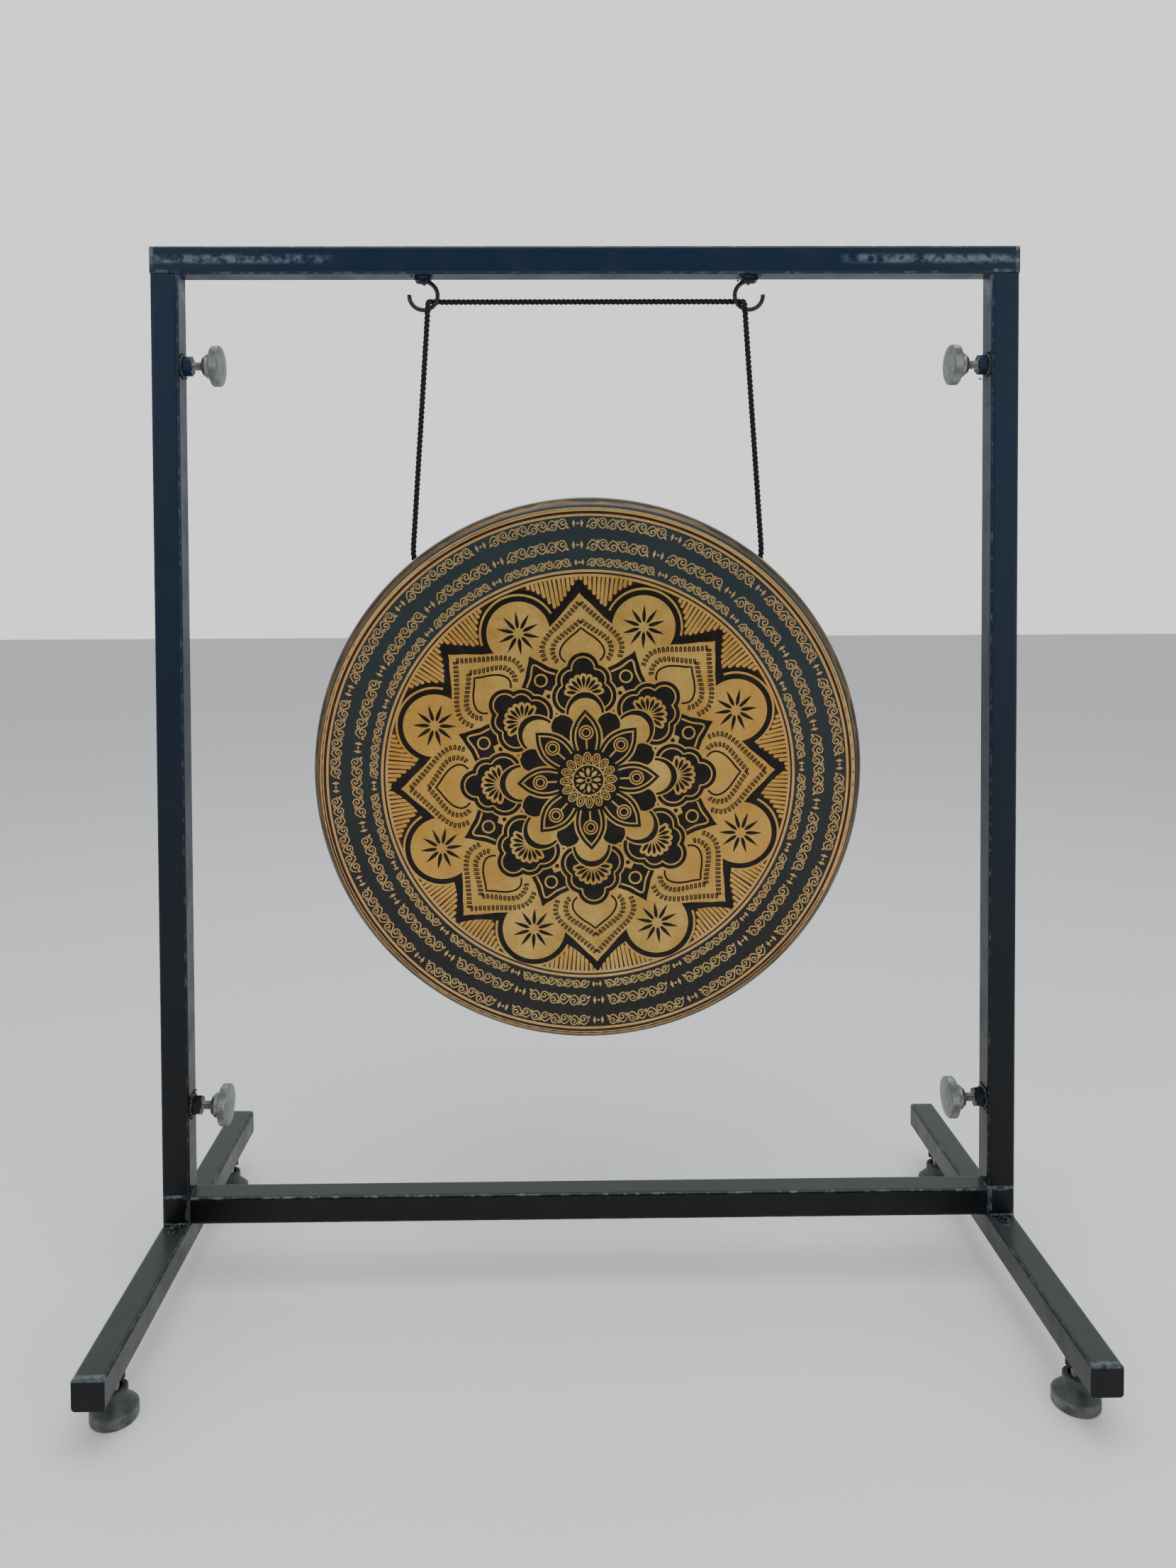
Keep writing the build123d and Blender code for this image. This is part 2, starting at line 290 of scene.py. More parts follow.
def blotches():
    """Shader group: two sizes of cloudy noise. Mask is 0 to 1 with a soft threshold, Height is fine grain."""
    group, given, result = make_group(
        "blotches", {"Scale": 60.0, "Threshold": 0.5, "Softness": 0.15, "Grain": 900.0}, ("Mask", "Height"))
    coarse, fine = (group.nodes.new("ShaderNodeTexNoise") for _ in range(2))
    settle(coarse, Detail=6, Roughness=0.65)
    settle(fine, Detail=3)
    soft = group.nodes.new("ShaderNodeMapRange")
    soft.interpolation_type = "SMOOTHSTEP"
    join(group,
         (given["Vector"], coarse.inputs["Vector"]),
         (given["Vector"], fine.inputs["Vector"]),
         (given["Scale"], coarse.inputs["Scale"]),
         (given["Grain"], fine.inputs["Scale"]),
         (coarse.outputs["Fac"], soft.inputs["Value"]),
         (math_node(group, "SUBTRACT", given["Threshold"], given["Softness"]), soft.inputs["From Min"]),
         (math_node(group, "ADD", given["Threshold"], given["Softness"]), soft.inputs["From Max"]),
         (soft.outputs["Result"], result["Mask"]),
         (fine.outputs["Fac"], result["Height"]))
    return group


blotch_group = blotches()


def place_group(tree, group, vector, **values):
    """The group's node in a material, fed with a vector and its own values."""
    node = tree.nodes.new("ShaderNodeGroup")
    node.node_tree = group
    settle(node, **values)
    join(tree, (vector, node.inputs["Vector"]))
    return node


def clouds(tree, vector, scale, threshold, softness, grain):
    """The blotches in a material: their mask and the height of their grain."""
    node = place_group(tree, blotch_group, vector, Scale=scale, Threshold=threshold, Softness=softness,
                       Grain=grain)
    return node.outputs["Mask"], node.outputs["Height"]


def over(tree, mask, below, above):
    """A colour laid over another where the mask is 1; each is a plain colour or a socket."""
    mix = tree.nodes.new("ShaderNodeMix")
    mix.data_type = "RGBA"
    for label, colour in (("A", below), ("B", above)):
        if isinstance(colour, tuple):
            mix.inputs[label].default_value = (*colour, 1)
        else:
            tree.links.new(colour, mix.inputs[label])
    tree.links.new(mask, mix.inputs["Factor"])
    return mix.outputs["Result"]


def span(tree, value, low, high, to_low=0.0, to_high=1.0):
    """A value's range stretched to another range by a smooth step, held at its ends."""
    node = tree.nodes.new("ShaderNodeMapRange")
    node.interpolation_type = "SMOOTHSTEP"
    settle(node, From_Min=low, From_Max=high, To_Min=to_low, To_Max=to_high)
    join(tree, (value, node.inputs["Value"]))
    return node.outputs["Result"]


def feed(tree, shader, height, strength, distance, **values):
    """Values that change over the surface linked to the shader, and relief on its normal from a height."""
    node = tree.nodes.new("ShaderNodeBump")
    settle(node, Strength=strength, Distance=distance)
    join(tree, (height, node.inputs["Height"]), (node.outputs["Normal"], shader.inputs["Normal"]))
    for label, value in values.items():
        tree.links.new(value, shader.inputs[label.replace("_", " ")])


def mottled(name, plain, roughness, metallic, patches, tones, gloss, relief, at=own_place):
    """A finish in soft patches: blotches (scale, threshold, softness, grain) mix two tones. Their grain sets
    the relief (strength, distance) and, unless gloss is None, the roughness (low, high, to low, to high)."""
    material, tree, shader = principled(name, plain, roughness, metallic)
    mask, grain = clouds(tree, at(tree), *patches)
    rough = {"Roughness": span(tree, grain, *gloss)} if gloss else {}
    feed(tree, shader, grain, *relief, Base_Color=over(tree, mask, *tones), **rough)
    return material, shader


black_cord, shader = mottled("black_cord", (0.006, 0.008, 0.009), 0.85, 0.0, (700.0, 0.55, 0.12, 2600.0),
                             ((0.0030, 0.0048, 0.0056), (0.014, 0.019, 0.021)), None, (0.7, 0.0004))
settle(shader, Sheen_Weight=0.12, Sheen_Roughness=0.5, Specular_IOR_Level=0.25)

half_route = np.array([
    hole_point(-1, knot_reach + 0.004),
    hole_point(-1, pivot_reach),
    (-0.1570, -0.0048, 0.692),
    (-0.1454, -0.0048, 0.861),
    (-0.1433, -0.0048, 0.8933),
    (-0.1428, -0.0048, 0.9018),
    (-0.1410, 0.0048, 0.9037),
    (-0.1110, 0.0048, 0.9037),
])
route = np.concatenate([half_route, half_route[::-1] * [-1, 1, 1]])
line = bpy.data.curves.new("cord_line", "CURVE")
line.dimensions = "3D"
line.resolution_u = 24
spline = line.splines.new("NURBS")
spline.points.add(len(route) - 1)
for point, place in zip(spline.points, route):
    point.co = (*place, 1)
spline.order_u = 3
spline.use_endpoint_u = True
line_holder = bpy.data.objects.new("cord_line", line)
bpy.context.scene.collection.objects.link(line_holder)
bpy.context.view_layer.update()
drawn = bpy.data.meshes.new_from_object(line_holder)
coarse_path = np.array([v.co for v in drawn.vertices], float)
bpy.data.objects.remove(line_holder)
distance = np.concatenate([[0], np.cumsum(np.linalg.norm(np.diff(coarse_path, axis=0), axis=1))])
cord_length = distance[-1]
cord_rows, cord_cells = 1100, 21
even = np.linspace(0, cord_length, cord_rows)
cord_path = np.stack([np.interp(even, distance, coarse_path[:, k]) for k in range(3)], -1)
angles = np.linspace(0, 2 * np.pi, cord_cells, endpoint=False)
lay = angles[None, :] - 2 * np.pi * even[:, None] / strand_pitch
within = (lay + np.pi / 3) % (2 * np.pi / 3) - np.pi / 3
strand_middle, strand_radius = 0.5359 * cord_radius, 0.4641 * cord_radius
lobes = strand_middle * np.cos(within)
lobes += np.sqrt(np.maximum(strand_radius**2 - (strand_middle * np.sin(within)) ** 2, 0))
wobble = np.random.default_rng(5).normal(0, 1, (cord_rows, cord_cells))
fluff, shallowest, hairiness, pinch = 1.08, 0.62, 0.025, 0.7
hairy = fluff * np.maximum(lobes, shallowest * cord_radius) * (1 + hairiness * wobble)
hairy[[0, -1]] *= pinch
cord = build("cord", *capped(carried(cord_path, hairy, angles)), None, black_cord, "cord")
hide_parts("cord_top", "left_cord_drop", "right_cord_drop")
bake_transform(cord)

# ---- Knots ------------------------------------------------------------------------------------------
# A stopper knot in each end of the cord, pulled tight inside the rim so that it can't pass the hole. Each is
# modelled as one small trefoil loop of the cord, without a tail.


def knot(name, side):
    """A trefoil: its middle line is (sin t + 2 sin 2t, cos t - 2 cos 2t, -sin 3t), scaled, and its profile is
    round, set out from the trefoil's own middle."""
    size, cells, wire = 0.00115, 14, 0.0018
    t = np.linspace(0, 2 * np.pi, 140, endpoint=False)
    trefoil = [np.sin(t) + 2 * np.sin(2 * t), np.cos(t) - 2 * np.cos(2 * t), -np.sin(3 * t)]
    trefoil = size * np.stack(trefoil, -1)
    along = unit(np.roll(trefoil, -1, 0) - np.roll(trefoil, 1, 0))
    other = unit(np.cross(along, unit(trefoil)))
    angles = np.linspace(0, 2 * np.pi, cells, endpoint=False)
    path = trefoil + hole_point(side, knot_reach)
    grid = rings_along(path, np.full((len(t), cells), wire), angles, np.cross(other, along), other)
    quads = lattice(*grid.shape[:2], round_rows=True)
    obj = build(f"{name}_stopper", grid.reshape(-1, 3), quads, [], "gong", black_cord, "cord")
    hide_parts(f"{name}_knot")
    return obj


stoppers = [knot(*side) for side in sides.items()]

# ---- Gong -------------------------------------------------------------------------------------------
# Hammered bronze, 500 mm across, with a slightly domed face, a rounded shoulder and a deep rim. The face is
# toned dark, painted blue-green towards the top and brown-black towards the bottom as a painted reflection;
# the middle is lacquered brown-black. The shoulder is rubbed back to silvery metal, painted brightest at the
# top as a painted highlight. The hollow back is left dark with turned rings. Sizes on the face are in
# millimetres from here on.

nodes = frame["nodes"]
face_radius, crown, shoulder_radius = 238.0, 5.0, 12.0
dome_radius = (face_radius**2 + crown**2) / (2 * crown)
face_middle = hung([0, 0, 0])


def gong_place(tree):
    """Object coordinates brought to the gong's own middle and unturned: X across, Y along its axis, Z up."""
    move = tree.nodes.new("ShaderNodeMapping")
    move.vector_type = "TEXTURE"
    settle(move, Location=tuple(face_middle), Rotation=(gong_lean, 0, 0))
    join(tree, (own_place(tree), move.inputs["Vector"]))
    return move.outputs["Vector"]


def long_side(tree, a, b):
    """The length of (a, b): the square root of a a + b b."""
    return math_node(tree, "SQRT", math_node(tree, "ADD", times(tree, a, a), times(tree, b, b)))


def x_y_z(tree, vector):
    """A vector's three parts."""
    parts = tree.nodes.new("ShaderNodeSeparateXYZ")
    join(tree, (vector, parts.inputs["Vector"]))
    return parts.outputs["X"], parts.outputs["Y"], parts.outputs["Z"]


def turned_rings(tree, vector, **values):
    """Wavy rings round the gong's axis, as a scraper or a lathe tool leaves them."""
    wave = tree.nodes.new("ShaderNodeTexWave")
    wave.wave_type, wave.rings_direction = "RINGS", "Y"
    settle(wave, **values)
    join(tree, (vector, wave.inputs["Vector"]))
    return wave.outputs["Fac"]


def finish_node(name, material):
    """Gives a carried-over part its finish."""
    nodes[name].data.materials.clear()
    nodes[name].data.materials.append(material)


bronze, tree, shader = principled("toned_bronze", (0.03, 0.04, 0.045), 0.38, 0.20)
settle(shader, Specular_IOR_Level=0.30)
place = gong_place(tree)
x, y, z = x_y_z(tree, place)
reach = long_side(tree, x, z)
cloud, _ = clouds(tree, place, 9.0, 0.52, 0.16, 160.0)
speck, grain = clouds(tree, place, 420.0, 0.60, 0.05, 1500.0)
# Painted reflection: the field is painted blue-green towards the top and brown-black towards the bottom.
field_with_painted_reflection = over(tree, span(tree, z, -0.24, 0.22), (0.0120, 0.0095, 0.0080), (0.0240, 0.0365, 0.0420))
worn = over(tree, times(tree, cloud, 0.35), field_with_painted_reflection, (0.028, 0.034, 0.034))
bulge = math_node(tree, "DIVIDE", times(tree, reach, reach), 2 * dome_radius / 1000)
behind_face = math_node(tree, "SUBTRACT", math_node(tree, "ADD", y, crown / 1000), bulge)
in_disc = times(tree, span(tree, reach, 0.1825, 0.1815), span(tree, behind_face, 0.0014, 0.0008))
disc = over(tree, in_disc, worn, (0.0055, 0.0040, 0.0031))
specked = over(tree, times(tree, speck, 0.18), disc, (0.07, 0.066, 0.055))
# Painted highlight: the rubbed silvery shoulder is painted brightest at the top and faint at the sides and
# bottom.
rubbed_and_painted_highlight = times(tree, span(tree, reach, 0.2425, 0.2455), span(tree, y, 0.020, 0.006),
               span(tree, grain, 0.30, 0.62, 0.55, 1.0), span(tree, z, -0.12, 0.20, 0.12, 1.0))
front_tone = over(tree, rubbed_and_painted_highlight, specked, (0.27, 0.285, 0.285))
past_shoulder = math_node(tree, "MAXIMUM", math_node(tree, "SUBTRACT", y, shoulder_depth), 0.0)
rim_outside = math_node(tree, "SUBTRACT", gong_radius, times(tree, past_shoulder, rim_taper))
within_rim = span(tree, math_node(tree, "SUBTRACT", reach, rim_outside), -0.0008, -0.0015)
behind = times(tree, span(tree, behind_face, 0.0008, 0.0018), within_rim)
scraped = turned_rings(tree, place, Scale=34.0, Distortion=3.5, Detail=4.0)
streaks = times(tree, span(tree, scraped, 0.45, 0.95), span(tree, cloud, 0.0, 1.0, 0.35, 1.0))
oxide = over(tree, streaks, (0.040, 0.027, 0.015), (0.200, 0.120, 0.045))
lathe = turned_rings(tree, place, Scale=150.0, Distortion=1.2, Detail_Scale=0.6)
dents = tree.nodes.new("ShaderNodeTexVoronoi")
dents.feature = "SMOOTH_F1"
settle(dents, Scale=46.0)
join(tree, (place, dents.inputs["Vector"]))
beaten = math_node(tree, "ADD", times(tree, dents.outputs["Distance"], 0.7), times(tree, lathe, 0.10))
feed(tree, shader, math_node(tree, "ADD", beaten, times(tree, grain, 0.10)), 0.30, 0.0012,
     Base_Color=over(tree, behind, front_tone, oxide),
     Roughness=math_node(tree, "ADD", times(tree, cloud, 0.16), 0.30))
finish_node("gong", bronze)

# ---- Ornament on the gong's face --------------------------------------------------------------------
# Rings, a scrolling border and an eight-petalled flower, laid on by hand in gold and brown-black lacquer.
# Every line and leaf is a thin closed plate that follows the dome; later coats lie a little higher.

leaf_gold, tree, shader = principled("lacquer_gold", (0.44, 0.26, 0.06), 0.38, 0.55)
place = gong_place(tree)
x, y, z = x_y_z(tree, place)
cloud, grain = clouds(tree, place, 26.0, 0.5, 0.2, 420.0)
speck, _ = clouds(tree, place, 520.0, 0.62, 0.06, 1300.0)
tone = over(tree, cloud, (0.43, 0.245, 0.048), (0.60, 0.385, 0.105))
# Painted reflection: the gold is painted warmer and more orange towards the left and right sides.
painted_reflection_at_sides = span(tree, math_node(tree, "ABSOLUTE", x), 0.04, 0.20, 0.0, 0.55)
gold_with_painted_reflection = over(tree, painted_reflection_at_sides, tone, (0.60, 0.27, 0.035))
at_ring = span(tree, long_side(tree, x, z), 0.176, 0.186, 0.0, 0.30)
paler = over(tree, at_ring, gold_with_painted_reflection, (0.50, 0.42, 0.26))
feed(tree, shader, grain, 0.35, 0.0006, Roughness=span(tree, grain, 0.25, 0.75, 0.34, 0.55),
     Base_Color=over(tree, times(tree, speck, 0.5), paler, (0.16, 0.085, 0.025)))


def dark_lacquer(name, deep, worn):
    """A dark lacquer with soft worn patches: its colour lies between two close tones."""
    material, shader = mottled(name, deep, 0.40, 0.0, (60.0, 0.58, 0.14, 600.0), (deep, worn),
                               (0.25, 0.75, 0.30, 0.55), (0.35, 0.0005), gong_place)
    settle(shader, Specular_IOR_Level=0.22)
    return material


lacquer = dark_lacquer("lacquer_black", (0.0050, 0.0036, 0.0028), (0.014, 0.011, 0.009))
red_brown = dark_lacquer("lacquer_red_brown", (0.036, 0.0075, 0.0032), (0.062, 0.018, 0.007))
coat, sunk = 0.045, -0.25


def on_face(flat, lift):
    """Flat points (mm) of the face and their lift above it, as places in metres. Inside the shoulder the
    face is a sphere, dome_radius - sqrt(dome_radius^2 - r^2) behind its crown; on it, a round edge."""
    r = np.hypot(flat[..., 0], flat[..., 1])
    dome = dome_radius - crown - np.sqrt(dome_radius**2 - np.minimum(r, face_radius) ** 2)
    out = np.clip(r - face_radius, 0, shoulder_radius - 0.5)
    edge = shoulder_radius - np.sqrt(shoulder_radius**2 - out**2)
    depth = np.where(r < face_radius, dome, edge)
    return hung(np.stack([flat[..., 0], depth - lift, flat[..., 1]], -1) / 1000)


class Coat:
    """One colour's plates, gathered as flat points with a lift, then laid on the face as a single piece."""

    def __init__(self):
        self.flat, self.lift, self.quads, self.triangles, self.count = [], [], [], [], 0

    def add(self, flat, lift, quads, triangles):
        self.flat.append(flat.reshape(-1, 2))
        self.lift.append(np.broadcast_to(lift, flat.shape[:-1]).reshape(-1))
        self.quads.append(np.asarray(quads).reshape(-1, 4) + self.count)
        self.triangles.append(np.asarray(triangles, int).reshape(-1, 3) + self.count)
        self.count += flat.reshape(-1, 2).shape[0]

    def arrays(self):
        return tuple(np.concatenate(k) for k in (self.flat, self.lift, self.quads, self.triangles))

    def around(self, other, turns):
        """Adds another coat's plates once at every turn (radians, anticlockwise)."""
        flat, lift, quads, triangles = other.arrays()
        for turn in turns:
            c, s = math.cos(turn), math.sin(turn)
            self.add(flat @ np.array([[c, s], [-s, c]]), lift, quads, triangles)

    def lay(self, name, material, slot, middle=(0, 0)):
        flat, lift, quads, triangles = self.arrays()
        obj = build(name, on_face(flat + np.asarray(middle), lift), quads, triangles, "gong", material, slot)
        obj.data.set_sharp_from_angle(angle=math.radians(40))
        return obj


def plate(coat_of, outline, height, middle=None):
    """A flat patch inside an outline seen whole from its middle: rings of points at 1, 2/3 and 1/3 of the way
    from the middle to the outline, with a side down to below the face and a bottom."""
    outline = np.asarray(outline, float)
    turn = np.sum(outline[:, 0] * np.roll(outline[:, 1], -1) - outline[:, 1] * np.roll(outline[:, 0], -1))
    outline = outline if turn > 0 else outline[::-1]
    middle = outline.mean(0) if middle is None else np.asarray(middle, float)
    large = np.ptp(outline, axis=0).max() > 14
    shares = np.array([1.0, 1.0, 0.66, 0.33] if large else [1.0, 1.0])
    grid = middle + shares[:, None, None] * (outline - middle)
    rows, n = grid.shape[:2]
    flat = np.concatenate([grid.reshape(-1, 2), [middle, middle]])
    lift = np.concatenate([np.full(n, sunk), np.full((rows - 1) * n, height * coat), [sunk, height * coat]])
    j = np.arange(n)
    nxt = (j + 1) % n
    bottom = np.stack([nxt, j, np.full(n, rows * n)], -1)
    top = np.stack([(rows - 1) * n + j, (rows - 1) * n + nxt, np.full(n, rows * n + 1)], -1)
    coat_of.add(flat, lift, lattice(rows, n), np.concatenate([bottom, top]))


def stroke(coat_of, path, width, height, closed=False, taper=0.0):
    """A flat line of a width along a path: the path plus and minus half the width along its normal, as a
    four-cornered profile from below the face up to its height. A taper narrows both ends."""
    path = np.asarray(path, float)
    along = unit(np.roll(path, -1, 0) - np.roll(path, 1, 0) if closed else np.gradient(path, axis=0))
    normal = np.stack([-along[:, 1], along[:, 0]], -1)
    share = np.linspace(-1, 1, len(path))
    half_width = width / 2 * (1 - taper * np.abs(share) ** 3)[:, None]
    left, right = path + half_width * normal, path - half_width * normal
    flat = np.stack([left, left, right, right], 1)
    lift = np.broadcast_to(np.array([height * coat, sunk, sunk, height * coat]), flat.shape[:2])
    end = 4 * len(path) - 4
    caps = [] if closed else [(2, 1, 0), (3, 2, 0), (end + 1, end + 2, end), (end + 2, end + 3, end)]
    coat_of.add(flat, lift, lattice(len(path), 4, round_rows=closed), caps)


def band(coat_of, inner, outer, height, cells=360):
    """A flat ring: radii inner and outer, which may change with the angle, with a wall down at each."""
    angle = np.linspace(0, 2 * np.pi, cells, endpoint=False)
    inner, outer = np.broadcast_to(inner, cells), np.broadcast_to(outer, cells)
    steps = np.linspace(0, 1, 2 + int((outer - inner).max() // 6))
    radii = inner[None] + steps[:, None] * (outer - inner)[None]
    radii = np.concatenate([radii[:1], radii, radii[-1:], radii[:1]])
    lift = np.full((len(radii), cells), height * coat)
    lift[[0, -2, -1]] = sunk
    flat = radii[..., None] * np.stack([np.cos(angle), np.sin(angle)], -1)
    coat_of.add(flat, lift, lattice(len(radii), cells)[:, ::-1], [])


def circle(middle, radius, cells=48):
    """Points round a circle, or an ellipse for a pair of radii: middle + radius (cos, sin)."""
    angle = np.linspace(0, 2 * np.pi, cells, endpoint=False)
    return np.asarray(middle) + np.asarray(radius) * np.stack([np.cos(angle), np.sin(angle)], -1)


def both_sides(points):
    """An outline from its right-hand half, given from the top down to the bottom, and its mirror image."""
    points = np.asarray(points, float)
    return np.concatenate([points, (points * [-1, 1])[::-1]])


def smoothed(points, cells=6):
    """A Catmull-Rom curve through points: cubic pieces whose slope at a point is half the step past it."""
    p = np.asarray(points, float)
    p = np.concatenate([2 * p[:1] - p[1:2], p, 2 * p[-1:] - p[-2:-1]])
    t = np.linspace(0, 1, cells, endpoint=False)[:, None, None]
    a, b, c, d = p[:-3], p[1:-2], p[2:-1], p[3:]
    cubic = 0.5 * (2 * b + (c - a) * t + (2 * a - 5 * b + 4 * c - d) * t**2 + (3 * b - a - 3 * c + d) * t**3)
    return np.concatenate([cubic.transpose(1, 0, 2).reshape(-1, 2), p[-2:-1]])


def leaf(length, width, blunt=0.7, cells=9):
    """A leaf from its root at 0 to its tip: half-width is width/2 times sin(pi s^blunt)."""
    s = np.linspace(0, 1, cells)
    half = width / 2 * np.sin(np.pi * s**blunt)
    return np.concatenate([np.stack([half, s * length], -1), np.stack([-half, s * length], -1)[-2:0:-1]])


def turned_by(points, angle, middle=(0, 0)):
    """Points turned anticlockwise by an angle about the origin, then moved to a middle."""
    c, s = math.cos(angle), math.sin(angle)
    return np.asarray(points, float) @ np.array([[c, s], [-s, c]]) + np.asarray(middle)


def lobed(radii, middle=(0, 84.0), cells=150):
    """The outline of five overlapping discs (top, upper pair, lower pair) as seen from a middle: along each
    ray the farthest crossing, d cos a + sqrt(R^2 - d^2 sin^2 a), or 19 mm where the ray meets no disc."""
    angle = np.linspace(0, 2 * np.pi, cells, endpoint=False) + 0.001
    ray = np.stack([np.cos(angle), np.sin(angle)], -1)
    far = np.full(cells, 19.0)
    discs = ((0, 101.5, 0), (10.8, 91.2, 1), (-10.8, 91.2, 1), (12.9, 76.2, 2), (-12.9, 76.2, 2))
    for x, y, size in discs:
        offset = np.array([x, y]) - middle
        ahead = ray @ offset
        under = radii[size] ** 2 - (offset @ offset - ahead**2)
        far = np.where(under > 0, np.maximum(far, ahead + np.sqrt(under.clip(0))), far)
    return np.asarray(middle) + far[:, None] * ray


def lens(extra):
    """A pointed petal from 20 mm out to its tip: half-width grows to its widest a third of the way up, then
    falls like the square root of a cosine to the tip. Extra is how far it is spread all round."""
    right = [(9.0, 20), (12.0, 30), (13.2, 38), (12.6, 45), (10.8, 50), (8.2, 55), (4.2, 60), (0.0, 64.5)]
    curve = smoothed(right, 4)
    along = unit(np.gradient(curve, axis=0))
    moved = curve + extra * np.stack([along[:, 1], -along[:, 0]], -1)
    moved[-1] = (0, 64.5 + extra * 1.35)
    return both_sides(moved[::-1].clip([0, -99], None))


half = math.radians(22.5)


def aside(points):
    """Points turned half an eighth clockwise, on to the axis between two pointed petals."""
    return turned_by(points, -half)


gold, black, brown = Coat(), Coat(), Coat()
circle_middle = aside([[0, 147.0]])[0]
plate(gold, aside(circle((0, 147), 35.3, 64)), 1)
ogee_black = smoothed([(0, 180), (4.6, 172.8), (10.2, 165.8), (16, 160), (22.5, 154.8), (30, 149.5),
                       (40, 141)], 4)
plate(black, both_sides(np.concatenate([ogee_black, [(34, 118), (10, 108)]])), 2, (0, 142))
plate(black, aside(circle((0, 147), 33.3, 64)), 2.4)
ogee_gold = smoothed([(0, 169.5), (4, 164.7), (9, 160), (13, 155.5), (17.5, 150.5), (21, 146.6), (26, 142),
                      (31, 137)], 4)
plate(gold, both_sides(np.concatenate([ogee_gold, [(30, 118), (10, 108)]])), 3, (0, 136))
plate(gold, aside(circle((0, 147), 28.5, 60)), 3.4)
for i in range(10):
    turn = 2 * np.pi * (i + 0.5) / 10
    plate(black, turned_by(turned_by(leaf(16, 3.3, 0.62) + [0, 4.0], turn), -half, circle_middle), 5)


def marks(path, lean, inward):
    """A row of U-shaped marks along a path: each is two legs and a half circle, turned off the path."""
    pitch, length, r, brush = 3.9, 4.4, 0.75, 1.1
    curve = smoothed(path, 12)
    run = np.concatenate([[0], np.cumsum(np.linalg.norm(np.diff(curve, axis=0), axis=1))])
    arc = np.linspace(0, np.pi, 5)
    bend = np.stack([r * np.cos(arc), length / 2 - r + r * np.sin(arc)], -1)
    mark = np.concatenate([[(r, -length / 2)], bend, [(-r, -length / 2)]])
    if inward:
        mark = mark * [1, -1]
    for s in np.arange(pitch / 2, run[-1], pitch):
        spot, ahead = (np.array([np.interp(at, run, curve[:, k]) for k in range(2)])
                       for at in (s, min(s + 1, run[-1])))
        slope = math.atan2(*(ahead - spot)[::-1])
        for side in (1, -1):
            stroke(black, turned_by(mark, slope + lean, spot) * [side, 1], brush, 5)


outer_row = [(0, 161), (5.5, 155), (9.5, 151), (13.5, 147.3), (18, 143), (23.5, 138), (28, 134), (32, 129),
             (35, 123.5), (35.5, 117.5), (33.5, 111)]
inner_row = [(0, 145), (5.5, 140.5), (10.5, 136.8), (15.5, 133.3), (20.5, 129.5), (25, 124.5), (26.5, 118.5),
             (25.5, 112.5), (22, 107.5)]
marks(outer_row, 0.0, False)
marks(inner_row, -0.25, True)
heart = smoothed([(0, 138), (5, 133.8), (10, 130.2), (15, 125.8), (18.5, 121), (20, 116), (18.8, 111.5),
                  (15.5, 107.8)], 5)
stroke(black, np.concatenate([heart[::-1], heart[1:] * [-1, 1]]), 1.7, 5.3)
kite = [(0, 124.4), (3.2, 119.4), (6.6, 115.2), (12.1, 107.6), (18.3, 101.7), (15, 90), (6, 80)]
plate(black, aside(both_sides(kite)), 5.6, aside([[0, 103.0]])[0])
roof = [(14.2, 99.6), (7.2, 106.3), (0, 115.5), (-7.2, 106.3), (-14.2, 99.6)]
stroke(gold, aside(smoothed(roof, 4)), 1.7, 6.2)
stroke(gold, aside(circle((0, 100), 5.4, 28)), 1.6, 6.2, closed=True)
plate(gold, aside([(0, 91.0), (-5.4, 86.2), (-4.0, 79), (4.0, 79), (5.4, 86.2)]), 6.2)
for height in (6.6, 6.9):
    plate(black, aside([(-1.8, 82.2), (1.8, 82.2), (1.8, 85.8), (-1.8, 85.8)]), height)

for kind, radii, height in ((gold, (15.85, 14.55, 17.55), 7), (black, (14.35, 13.05, 16.05), 7.6),
                            (gold, (11.0, 9.7, 12.7), 8.2), (black, (9.6, 8.3, 11.3), 8.8)):
    plate(kind, lobed(radii), height, (0, 84))
fan_reach, fan_tooth = 94.5, 21
fan_angle = np.linspace(-fan_reach, fan_reach, 127)
across_tooth = (fan_angle + fan_reach) % fan_tooth / fan_tooth * 2 - 1
shell = 15.4 + 2.7 * np.sqrt(1 - np.minimum(across_tooth**2, 1))
fan_angle = np.radians(fan_angle)
fan = np.stack([shell * np.sin(fan_angle), 79 + shell * np.cos(fan_angle)], -1)
plate(gold, np.concatenate([fan, [(6, 74), (-6, 74)]]), 9.4, (0, 83))
for degrees in range(-84, 85, fan_tooth):
    plate(black, turned_by(leaf(13.6, 3.2, 1.75, 11) + [0, 2.6], -math.radians(degrees), (0, 79)), 10)
for kind, radii, cells, height in ((gold, (18.45, 21.45), 48, 10.6), (black, (17.15, 20.15), 48, 11.2),
                                   (gold, 14.9, 44, 11.8)):
    plate(kind, circle((0, 60), radii, cells), height, (0, 60))
wedge = both_sides([(0, 90), (3.4, 84), (3.0, 74), (3.4, 64), (4, 62)])
plate(gold, aside(wedge), 6.4, aside([[0, 76]])[0])
plate(black, aside(circle((0, 67), 0.9, 10)), 6.9)


def tab(extra):
    """A stepped block between two lenses, in polar places (degrees from its own axis, distance out)."""
    places = np.array([(0, 64.0), (2.5, 64.6), (5.6, 62.6), (8.2, 60.3), (9.8, 58.2), (10.8, 55.5),
                       (11.5, 46.0)])
    a = np.radians(places[:, 0]) * (1 + extra * 0.06)
    d = places[:, 1] + extra
    return aside(both_sides(np.stack([d * np.sin(a), d * np.cos(a)], -1)))


